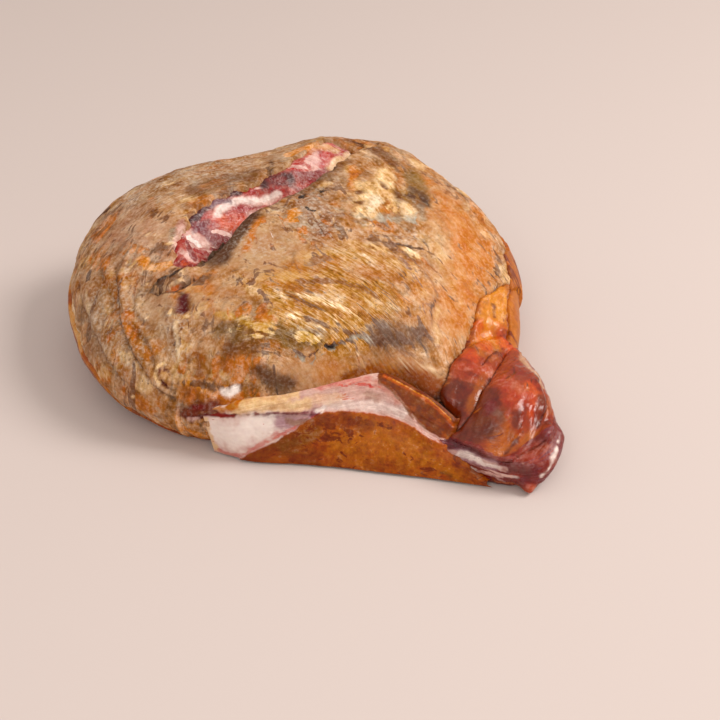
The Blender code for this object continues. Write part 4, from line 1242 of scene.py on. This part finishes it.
# the flap of rind with its fat, turned up along the front
flap = dict(
    cells=(330, 130),
    foot=((-7, -129, 1), (10, -128, 1), (54, -112, 1), (94, -98, 1), (136, -85, 1), (166, -76, 1),
          (186, -70, 1)),
    top=((-15, -131, 37), (6, -123, 42), (26, -112, 47), (47, -99, 52), (72, -78, 56),
         (91, -62, 58), (110, -58, 53), (129, -57, 46), (150, -57, 34), (172, -66, 16)),
    bulge=5, thick=(9, 3.5), inward=(0.25, 0.97, 0), outerShare=0.74, lipShare=0.14, backDrop=14,
    # x from which the shank's skin covers it, and how far it is tucked under there
    skinFrom=149, tuckedIn=16, tuckedDown=5,
    # x at which the smooth white face ends, and its height
    face=(44, 37),
    fibreSpan=(70, 200), floorGap=0.3, lie=((0.8, 24.0, 2, 46.0), (0.25, 5.0, 2, 47.0)),
    grooves=((3.0, 4, ((-23, -133, 35), (-2, -127, 36), (19, -119, 38), (46, -107, 39), (60, -99, 40))),),
    lumps=((2.4, 4, ((10, -122, 42), (26, -113, 45), (46, -103, 46), (58, -95, 47))),),
    steps=(
        (3.0, 4, ((0, -127, 37), (19, -120, 38), (46, -108, 39), (64, -99, 40))),
        (1.5, 6, ((150, -72, 23), (138, -70, 27), (128, -71, 31), (119, -66, 39), (111, -64, 45),
                  (102, -62, 51), (92, -62, 55))),
    ),
    # height of the rind's edge along the flap, by x
    rindTop=((-30, -5), (8, -2), (16, 3), (22, 9), (30, 14), (38, 19), (44, 24), (50, 29), (56, 35),
             (62, 39), (68, 39), (80, 39), (99, 37), (115, 35), (126, 32), (136, 28), (146, 24),
             (156, 20), (166, 14), (180, 4)),
    # the same of the brown triangle's lower edge beyond it; both edges stray by these waves
    rindWaves=((1.2, 8.0, 3, 45.0),), webWaves=((0.8, 6.0, 2, 49.0),),
    webTop=((88, 62), (92, 54), (102, 51), (111, 45), (119, 39), (128, 33), (138, 29), (150, 25)),
    base="pinkFat", fleck="skinRose", share=0.08,
    groundTones=(("fat", 18.0, -0.1, 0.5, 41.0),),
    grounds=(
        ("whiteFat", 15, 1.0, ((-2, -130, 20), (12, -127, 24), (32, -118, 32))),
        ("creamFat", 3, 0.9, ((-13, -131, 28), (-11, -131, 16), (-6, -130, 4))),
        ("rose", 2, 0.6, ((-3, -129, 3), (12, -128, 4), (24, -122, 13), (38, -115, 25))),
        ("pinkFat", 9, 0.9, ((56, -94, 48), (76, -80, 48), (96, -68, 46))),
        ("fat", 4, 0.6, ((66, -90, 45), (84, -80, 43), (100, -72, 41), (114, -68, 38))),
        ("rose", 3.5, 0.35, ((58, -89, 56), (72, -77, 57), (86, -67, 57))),
        ("skinRose", 4, 0.5, ((92, -64, 54), (100, -63, 50), (108, -64, 45))),
    ),
    solids=(
        ("creamFat", 5, 1.0, ((10, -122, 41), (26, -113, 44), (46, -103, 45), (54, -98, 46))),
        ("cream", 3, 0.8, ((12, -121, 44), (30, -109, 48), (46, -99, 51))),
        ("peach", 5, 0.9, ((-14, -131, 41), (-4, -127, 43), (6, -122, 44))),
        ("fat", 3.5, 1.0, ((-7, -127, 44), (-2, -124, 46))),
        ("orange", 1.6, 1.0, ((4, -124, 41), (9, -122, 42), (12, -119, 45))),
        ("orange", 1.6, 0.9, ((-16, -132, 38), (-8, -129, 41), (0, -126, 41))),
        ("maroon", 3.5, 1.0, ((-18, -133, 34), (-12, -131, 36), (-6, -128, 35))),
        ("deepRed", 1.5, 1.0, ((-8, -129, 35), (6, -126, 36), (18, -120, 38), (30, -115, 39))),
        ("mauvePink", 6, 0.9, ((40, -112, 33), (50, -107, 34), (60, -101, 37))),
        ("creamFat", 4, 0.45, ((56, -96, 47), (64, -91, 48), (72, -86, 49))),
        ("rose", 1.4, 0.8, ((30, -117, 17), (44, -110, 27), (54, -105, 34), (62, -100, 39))),
        # painted shadow along the groove under the lip
        ("purple", 1.5, 0.9, ((30, -115, 39), (46, -107, 40), (58, -100, 40))),
        ("mauve", 2.4, 0.8, ((44, -110, 35), (50, -107, 34), (56, -104, 36))),
        ("purple", 1.8, 0.8, ((58, -100, 38), (68, -96, 39), (80, -90, 39), (94, -84, 37), (108, -78, 35))),
        ("rose", 2.2, 0.3, ((58, -89, 56), (72, -77, 57), (86, -67, 57))),
        ("skinRose", 2.4, 0.6, ((96, -61, 53), (106, -62, 48), (114, -62, 43))),
        ("mauve", 3, 0.5, ((88, -72, 47), (94, -70, 45))),
        ("whiteFat", 1.6, 0.9, ((60, -97, 41), (66, -95, 43))),
        ("whiteFat", 1.0, 0.9, ((63, -97, 38), (65, -95, 42))),
        ("pinkFat", 1.6, 1.0, ((118, -68, 37), (126, -71, 32), (136, -70, 28), (148, -72, 23),
                               (154, -74, 20))),
        ("wetRust", 7, 0.8, ((164, -76, 14), (174, -74, 8), (184, -71, 3))),
    ),
    strokes=(
        ("rose", 2, 0.5, ((64, -84, 53), (80, -72, 53), (94, -66, 51))),
    ),
)
flapWeb = dict(
    base="webBrown", fleck="rindDark", share=0.25,
    groundTones=(("rind", 9.0, 0.0, 0.5, 43.0), ("skinDark", 12.0, -0.05, 0.4, 44.0)),
    solids=(
        ("rindDark", 2.4, 0.7, ((100, -60, 52), (116, -60, 44), (130, -62, 37), (144, -63, 30))),
        # the bright orange along the crest is partly the rind's colour and partly painted highlight; the thin
        # pale line on it is painted highlight
        ("hotOrange", 1.5, 1.0, ((94, -59, 57), (106, -58, 54), (118, -58, 50), (129, -57, 45),
                                 (141, -57, 38), (150, -58, 33))),
        ("paleOrange", 0.5, 0.9, ((100, -58, 56), (118, -57, 51), (129, -56, 46.5), (146, -57, 36))),
        ("mauve", 1.6, 0.7, ((92, -63, 54), (100, -63, 50), (110, -65, 44), (119, -67, 38), (132, -70, 31))),
    ),
)
flapRind = dict(
    base="rind", fleck="rindDark", share=0.2,
    groundTones=(("rindPale", 12.0, 0.1, 0.5, 43.0), ("rindDark", 14.0, 0.0, 0.5, 44.0)),
    grounds=(
        ("rindRed", 12, 0.85, ((14, -126, 4), (24, -122, 10), (34, -118, 14), (42, -112, 24))),
        ("rindRed", 8, 0.7, ((50, -108, 6), (60, -104, 8))),
        ("dull", 8, 0.6, ((46, -113, 16), (54, -108, 23), (60, -103, 28))),
        ("rindPale", 16, 0.7, ((84, -94, 16), (104, -86, 20), (124, -78, 16))),
        ("rindRed", 5, 0.8, ((60, -98, 34), (80, -92, 34), (96, -86, 33))),
        ("mauve", 2.5, 0.7, ((48, -108, 33), (58, -102, 36))),
        ("rindPale", 6, 0.8, ((140, -80, 14), (152, -77, 10), (164, -75, 6))),
    ),
    solids=(
        ("dull", 2.0, 0.6, ((150, -77, 6), (157, -75, 5))),
    ),
    strokes=(
        ("rindDark", 4, 0.8, ((66, -96, 34), (72, -94, 26))),
        ("rindDark", 3, 0.7, ((84, -90, 34), (110, -80, 32))),
        ("rindDark", 5, 0.6, ((70, -98, 22), (84, -93, 24))),
    ),
)


def byX(table, places):
    # a height read off a table by x
    return np.interp(places[:, 0], *np.array(table, float).T)


def flapPlaces(along, up):
    at = np.linspace(0, 1, 120)
    low = hermite(at, through(flap["foot"]), along)
    high = hermite(at, through(flap["top"]), along)
    rise = high - low
    inward = np.array(flap["inward"])
    thick = np.interp(along, (0, 1), flap["thick"])[:, None]
    outer = np.clip(up / flap["outerShare"], 0, 1)
    lip = np.clip((up - flap["outerShare"]) / flap["lipShare"], 0, 1)[:, None] * math.pi
    backFrom = flap["outerShare"] + flap["lipShare"]
    back = np.clip((up - backFrom) / (1 - backFrom), 0, 1)
    upward = rise / np.linalg.norm(rise, axis=1)[:, None]
    rise = rise - upward * thick * 0.4
    swell = flap["bulge"] * 4 * outer * (1 - outer) * smooth(along * 8)
    places = low + rise * outer[:, None] - inward * swell[:, None]
    places += inward * thick / 2 * (1 - np.cos(lip)) + upward * thick / 2 * np.sin(lip)
    places -= upward * (back * flap["backDrop"])[:, None]
    # past the shank's skin the flap ends along the rind's edge
    above = places[:, 2] - byX(flap["rindTop"], places)
    past = smooth((places[:, 0] - flap["skinFrom"] + 0.12 * above) / 4) * smooth(above / 1.5)
    return places + (flap["tuckedIn"] * inward - np.array((0, 0, flap["tuckedDown"]))) * past[:, None]


def makeFlap():
    work, grid = sheet(flap["cells"])
    along, up = grid.T
    start = flapPlaces(along, up)
    setPlaces(work, start)
    faceOutward(work, (0, -1, 0))
    relieve(work, flap["grooves"], flap["lumps"], steps=flap["steps"])
    places, normals = placesOf(work), normalsOf(work)
    edge = byX(flap["rindTop"], places) + uneven(places, flap["rindWaves"])
    share = smooth(edge - places[:, 2] + 0.5) * (up < flap["outerShare"])
    web = byX(flap["webTop"], places) + uneven(places, flap["webWaves"])
    web = smooth((places[:, 2] - web) / 0.8 + 0.5) * (places[:, 0] > flap["webTop"][0][0])
    fibres = np.column_stack([up, along]) * flap["fibreSpan"]
    strands = 0.5 * cloud(np.column_stack([fibres / (3.0, 30.0), 0 * along]), 1.0, 3, 48.0)
    # the white face at the left end is smooth
    faceEnd, faceTop = flap["face"]
    face = smooth((faceEnd - start[:, 0]) / 14) * smooth((faceTop - start[:, 2]) / 3)
    push = uneven(places, flap["lie"]) + 1.2 * share + strands * (1 - share) * (1 - 0.8 * face)
    places = places + normals * push[:, None]
    places[:, 2] = np.maximum(places[:, 2], flap["floorGap"])
    setPlaces(work, places)
    stray = wander(start, 7.0)
    painted = paint(start, stray, flap)
    painted[2][:] *= 1 - face
    for look, part, steady in ((flapWeb, web, 0.3), (flapRind, share, 1.0)):
        painted = blend(painted, paint(start, [steady * waver for waver in stray], look), part)
    piece = finishPiece("rindFlap", work, flapMaterial)
    skin = np.maximum(share, web)
    setLook(piece, painted, fibres, fibre=0.6 * (1 - skin) * (1 - face), wet=0.6 - 0.25 * share, bloom=0.0,
            lively=0.55 + 0.45 * skin - 0.45 * face)


makeFlap()


# the shank's end: tight wet skin in rolls, with a cut face under it
shank = dict(
    cells=(360, 230), azimuths=(-44, 32), tilts=(0.25, 0.92), fibreSpan=(130, 260), floorGap=0.3,
    lie=((1.0, 22.0, 2, 55.0),), wrinkle=0.6, stand=0.8, hiddenDrop=4,
    grooves=(
        (3, 4, ((125, 4, 52), (124, -10, 52), (127, -24, 50), (128, -37, 44), (128, -43, 38))),
        (7, 7, ((126, -44, 38), (136, -50, 35), (148, -60, 32))),
        (3, 12, ((149, -64, 30), (157, -47, 40), (156, -29, 47), (155, -14, 51), (154, 8, 48),
                 (152, 26, 43))),
        (3.5, 3, ((149, -64, 30), (153, -58, 34), (157, -47, 40), (157, -38, 43), (156, -29, 47),
                  (155, -14, 51), (154, 8, 48), (152, 26, 43), (151, 52, 33))),
        (2, 3, ((146, -6, 54), (146, 8, 52), (147, 24, 47), (148, 47, 37))),
        (2.5, 3, ((188, -2, 45), (197, -12, 43), (203, -22, 42), (205, -30, 40))),
        (3, 3, ((190, -66, 28), (193, -58, 33), (197, -48, 39))),
    ),
    lumps=(
        (3, 10, ((138, -40, 44), (143, -22, 52), (140, -4, 54), (138, 16, 52))),
        (4, 16, ((176, -46, 43), (180, -18, 48), (176, 4, 46))),
        (4.5, 12, ((160, 44, 32), (174, 26, 38), (190, 4, 42), (204, -16, 38))),
        (6, 9, ((219, -26, 24), (224, -40, 20), (224, -52, 14), (219, -62, 8))),
        (5, 4, ((212, -40, 34), (211, -34, 36))),
        (7, 3.5, ((212, -68, 4), (216, -66, 3))),
        (1.2, 3, ((186, -36, 50), (192, -44, 46), (196, -54, 38))),
        (1.2, 3, ((194, -30, 48), (199, -38, 44), (202, -48, 38))),
    ),
    steps=(
        (3.5, 5, ((149, -67, 29), (160, -69, 28), (170, -69, 28), (180, -70, 26), (190, -70, 25),
                  (198, -67, 26), (201, -61, 29), (206, -55, 32), (210, -48, 32), (212, -35, 34),
                  (210, -24, 36))),
        (1.5, 5, ((205, -30, 40), (203, -22, 42), (197, -12, 43), (188, -2, 45), (178, 10, 43))),
        (1.5, 5, ((147, 24, 47), (146, 8, 52), (146, -4, 54), (144, -10, 54))),
    ),
    # the cut meat ends where y and z together pass cutBack; the rind reaches the skin behind rindBehind
    cutBack=30, rindBehind=10, lowWaves=((1.1, 6.0, 3, 59.0),),
    # height of the skin's lower edge over the cut meat, by x
    skinLow=((146, 30), (150, 27.5), (160, 27), (166, 27.5), (172, 26), (180, 24.5), (186, 23.5),
             (191, 24), (197, 26), (200, 29), (206, 31), (212, 34), (218, 37)),
    base="skinRed", fleck="brownRed", share=0.2,
    groundTones=(("skinOrange", 16.0, 0.05, 0.5, 51.0), ("skinDark", 12.0, 0.05, 0.6, 52.0)),
    figureTones=(("skinOrange", 9.0, 0.0, 0.8, 53.0),),
    grounds=(
        ("paleOrange", 13, 0.9, ((122, 74, 56), (128, 56, 52), (134, 40, 50))),
        ("pinkTan", 12, 0.9, ((114, 114, 58), (124, 102, 50), (132, 86, 42))),
        ("skinRose", 7, 0.7, ((126, 34, 55), (132, 26, 54), (138, 18, 53))),
        ("coral", 8, 0.9, ((134, 46, 50), (142, 36, 48), (150, 36, 42))),
        ("skinOrange", 8, 0.7, ((128, 24, 54), (136, 16, 54), (144, 10, 53))),
        ("skinRed", 9, 0.9, ((128, 0, 54), (134, -6, 54), (140, -10, 54))),
        ("coral", 5, 0.9, ((128, 4, 54), (133, 2, 54), (138, -2, 54))),
        ("brownRed", 12, 0.95, ((132, -44, 42), (138, -32, 49), (142, -18, 53))),
        ("brownRed", 7, 0.8, ((146, -50, 39), (150, -38, 45), (151, -24, 50))),
        ("skinDark", 5, 0.6, ((131, -40, 44), (137, -34, 48), (146, -40, 45))),
        ("brownRed", 15, 1.0, ((162, -62, 32), (166, -46, 43), (166, -32, 49))),
        ("skinOrange", 9, 0.9, ((180, -56, 40), (188, -58, 36), (184, -64, 31))),
        ("skinRed", 9, 0.8, ((176, 0, 50), (186, -10, 50), (194, -22, 47))),
        ("coral", 5, 0.6, ((186, -12, 50), (194, -22, 46), (199, -32, 43))),
        ("skinDark", 4, 0.7, ((196, -16, 44), (201, -26, 43), (204, -34, 40))),
        ("skinOrange", 6, 0.8, ((196, -58, 33), (202, -52, 34), (206, -44, 35))),
    ),
    solids=(
        # the rose strokes here are painted sheen on the wet skin
        ("skinRose", 7, 0.75, ((136, -16, 53), (144, -11, 54), (151, -6, 53))),
        ("skinRose", 4, 0.5, ((132, -24, 51), (140, -24, 52), (148, -22, 51))),
        ("skinRose", 8, 0.8, ((164, -16, 54), (174, -22, 55), (184, -28, 53))),
        ("skinRose", 5, 0.5, ((176, -32, 52), (182, -36, 50))),
        ("purple", 6, 0.6, ((168, -42, 47), (174, -48, 43))),
        ("darkMauve", 3, 0.5, ((176, -46, 45), (180, -49, 43))),
        ("pinkTan", 3, 0.9, ((154, 44, 32), (166, 25, 41), (179, 11, 43), (190, -1, 44))),
        ("rindPale", 5, 0.9, ((138, 78, 36), (144, 62, 34), (150, 46, 30))),
        ("paleOrange", 12, 0.8, ((118, 84, 58), (124, 62, 55), (129, 44, 53), (133, 30, 53))),
        ("coral", 6, 0.6, ((126, 36, 55), (133, 26, 54), (140, 16, 53))),
        ("skinDark", 1.2, 0.8, ((134, 76, 44), (140, 60, 42), (146, 46, 39), (147, 38, 39))),
        ("skinDark", 2, 0.7, ((124, 62, 56), (130, 54, 52))),
        ("brownRed", 8, 0.9, ((160, -62, 32), (167, -59, 37), (175, -55, 41))),
        ("skinDark", 7, 0.6, ((162, -62, 31), (168, -60, 35), (175, -57, 38))),
        # painted shade: black in the pocket and along the main crease
        ("black", 4, 0.95, ((126, -45, 40), (130, -48, 37), (138, -51, 34), (146, -57, 32))),
        ("black", 1.3, 0.95, ((149, -64, 30), (153, -59, 33), (156, -54, 36), (157, -46, 40),
                              (157, -38, 43), (156, -32, 46))),
        ("skinDark", 1.3, 0.95, ((157, -36, 44), (156, -29, 47), (155, -14, 51), (155, -1, 50),
                                 (153, 20, 45), (151, 50, 34))),
        ("skinOrange", 3, 0.5, ((153, -46, 41), (152, -34, 46), (151, -22, 50), (150, -12, 52))),
        # painted shade along the smaller creases
        ("skinDark", 1.0, 0.9, ((147, 45, 39), (147, 24, 47), (146, 7, 52), (146, -3, 54))),
        ("skinDark", 1.0, 0.9, ((178, 8, 45), (188, -2, 45), (197, -12, 43), (203, -22, 42),
                                (205, -30, 40), (205, -38, 38))),
        ("skinDark", 1.5, 0.8, ((190, -68, 26), (192, -62, 30), (196, -52, 36))),
        # painted shade along the left crease
        ("black", 1.3, 0.9, ((125, 4, 52), (124, -10, 52), (127, -24, 50), (128, -37, 44), (127, -43, 39))),
        ("skinDark", 0.8, 0.6, ((166, 8, 50), (170, -4, 52), (168, -12, 53))),
        ("peach", 1.2, 0.9, ((150, -68, 28), (162, -70, 27.5), (176, -70, 26), (190, -70, 24.5),
                             (198, -66, 27))),
    ),
)
shankCut = dict(
    base="cutLean", fleck="purple", share=0.35,
    groundTones=(("lean", 12.0, -0.15, 0.5, 57.0), ("purple", 8.0, 0.0, 0.7, 58.0)),
    grounds=(
        ("maroon", 5, 0.9, ((150, -72, 25), (162, -72, 25), (174, -72, 23))),
        ("skinRose", 7, 0.45, ((206, -58, 27), (213, -52, 27), (216, -46, 26))),
        ("maroon", 4, 0.6, ((196, -70, 20), (204, -66, 20), (210, -62, 18))),
    ),
    solids=(
        ("mauvePink", 4.2, 0.8, ((158, -74, 20), (166, -74, 20.5), (175, -73, 20), (184, -73, 18.5))),
        ("pinkFat", 2.0, 0.9, ((151, -74, 21), (158, -74, 22), (168, -73, 22), (180, -73, 20),
                               (195, -72, 17.5))),
        ("fat", 2.6, 0.9, ((160, -74, 21.5), (168, -73, 22), (175, -73, 20.5))),
        ("fat", 1.4, 0.8, ((176, -73, 17.5), (184, -73, 18), (190, -73, 18.5))),
        ("fat", 1.6, 0.7, ((166, -74, 12), (172, -75, 10))),
        ("pinkFat", 1.2, 0.7, ((176, -75, 9), (188, -74, 9), (196, -72, 6))),
        ("fat", 1.5, 0.5, ((196, -71, 13), (204, -69, 13))),
        ("pinkFat", 0.9, 0.7, ((202, -64, 26), (208, -63, 20), (214, -64, 12))),
        ("fat", 1.3, 0.9, ((217, -28, 30), (221, -42, 26), (222, -52, 21), (219, -60, 14))),
        ("skinRose", 3, 0.8, ((212, -67, 6), (214, -67, 3))),
        ("skinOrange", 1.6, 0.8, ((186, -74, 4), (198, -72, 3), (208, -68, 4))),
    ),
    strokes=(("pinkFat", 2.5, 0.6, ((160, -75, 14), (180, -75, 12), (198, -72, 13))),),
)


def makeShank():
    work, grid = sheet(shank["cells"])
    turn = np.radians(np.interp(grid[:, 0], (0, 1), shank["azimuths"]))
    tilt = np.interp(grid[:, 1], (0, 1), shank["tilts"]) * math.pi
    sphere = np.column_stack([np.sin(tilt) * np.cos(turn), np.sin(tilt) * np.sin(turn), np.cos(tilt)])
    start = ballPlaces(sphere)
    setPlaces(work, start)
    faceOutward(work, (0, 0, 1))
    relieve(work, shank["grooves"], shank["lumps"], steps=shank["steps"])
    places, normals = placesOf(work), normalsOf(work)
    share = skinShare(places)
    low = byX(shank["skinLow"], start) + uneven(start, shank["lowWaves"])
    cut = smooth((low - start[:, 2]) / 0.8 + 0.5) * smooth((shank["cutBack"] - start[:, 1] - start[:, 2]) / 6)
    lie = uneven(places, shank["lie"]) + shank["wrinkle"] * cloud(places / (3.2, 15, 9), 1.0, 3, 56.0)
    underRind = rindShare(places, 1.0) * (places[:, 1] > shank["rindBehind"])
    push = lie + shank["stand"] * share - shank["hiddenDrop"] * (1 - share + underRind)
    places = places + normals * push[:, None]
    places[:, 2] = np.maximum(places[:, 2], shank["floorGap"])
    setPlaces(work, places)
    stray = wander(start, 9.0)
    painted = blend(paint(start, stray, shank), paint(start, stray, shankCut), cut)
    fibres = (grid[:, ::-1] - 0.5) * shank["fibreSpan"]
    piece = finishPiece("shankSkin", work, skinMaterial)
    setLook(piece, painted, fibres, fibre=0.15 + 0.3 * cut, wet=0.9 - 0.5 * cut, bloom=0.0)


makeShank()


# camera, lamps and floor, in metres; forward is the way the camera looks, lens and film are in millimetres
camera = dict(place=(0.5251, -0.9538, 0.780), forward=(-0.3803, 0.7152, -0.5864), lens=86.1, film=36.0)
studio = dict(
    # name, place, size across, power in watts
    lamps=(("key lamp", (1.9, 1.1, 2.2), 1.3, 72.0), ("front lamp", (0.5, -1.7, 1.4), 1.0, 10.0)),
    lampColour=(1.0, 0.965, 0.92), sky="#FFF6EE", skyStrength=(0.3, 0.82),
    # the floor's colour and its painted shade, the way along which one fades into the other, and where that
    # starts and ends
    floor="#CDBFBA", floorShade="#8C7C72", backward=(-0.6, 0.8, 0), floorFade=(0.1, 1.6),
    floorSize=6, floorGap=0.0005,
)


def turnTo(made, way):
    made.rotation_mode = "QUATERNION"
    made.rotation_quaternion = Vector(way).to_track_quat("-Z", "Y")


def makeCamera():
    lens = bpy.data.cameras.new("camera")
    lens.lens = camera["lens"]
    lens.sensor_width = camera["film"]
    made = link("camera", lens)
    made.location = camera["place"]
    turnTo(made, camera["forward"])
    bpy.context.scene.camera = made


def makeLamps():
    for name, place, size, power in studio["lamps"]:
        light = bpy.data.lights.new(name, "AREA")
        light.size = size
        light.energy = power
        light.color = studio["lampColour"]
        made = link(name, light)
        made.location = place
        turnTo(made, -Vector(place))


def makeSky():
    # brighter overhead than at the horizon, as under a big soft box
    world = bpy.data.worlds.new("studio")
    world.use_nodes = True
    tree = world.node_tree
    sky = tree.nodes["Background"]
    sky.inputs["Color"].default_value = hexColour(studio["sky"])
    up = addNode(tree, "SeparateXYZ", (addNode(tree, "TexCoord", output="Generated"),), output="Z")
    strength = addNode(tree, "MapRange", (up, 0.0, 0.9, *studio["skyStrength"]))
    tree.links.new(strength, sky.inputs["Strength"])
    bpy.context.scene.world = world


def makeFloor():
    work = bmesh.new()
    bmesh.ops.create_grid(work, x_segments=1, y_segments=1, size=studio["floorSize"])
    mesh = bpy.data.meshes.new("floor")
    work.to_mesh(mesh)
    work.free()
    floor = link("floor", mesh)
    cloth = bpy.data.materials.new("pale backdrop cloth")
    cloth.use_nodes = True
    tree = cloth.node_tree
    shader = tree.nodes["Principled BSDF"]
    # painted shade: the floor's colour darkens towards the back, as if the cloth fell away from the light
    place = addNode(tree, "TexCoord", output="Object")
    away = addNode(tree, "VectorMath", (place, studio["backward"]), output="Value", operation="DOT_PRODUCT")
    fall = addNode(tree, "MapRange", (away, *studio["floorFade"], 0.0, 0.3))
    pale, shade = hexColour(studio["floor"]), hexColour(studio["floorShade"])
    tone = addNode(tree, "Mix", {0: fall, 6: pale, 7: shade}, output=2, data_type="RGBA")
    tree.links.new(tone, shader.inputs["Base Color"])
    shader.inputs["Roughness"].default_value = 0.9
    mesh.materials.append(cloth)
    floor.location.z = -studio["floorGap"]


makeCamera()
makeLamps()
makeSky()
makeFloor()
bpy.context.scene.view_settings.view_transform = "Standard"
print("camera, lamps and floor set")
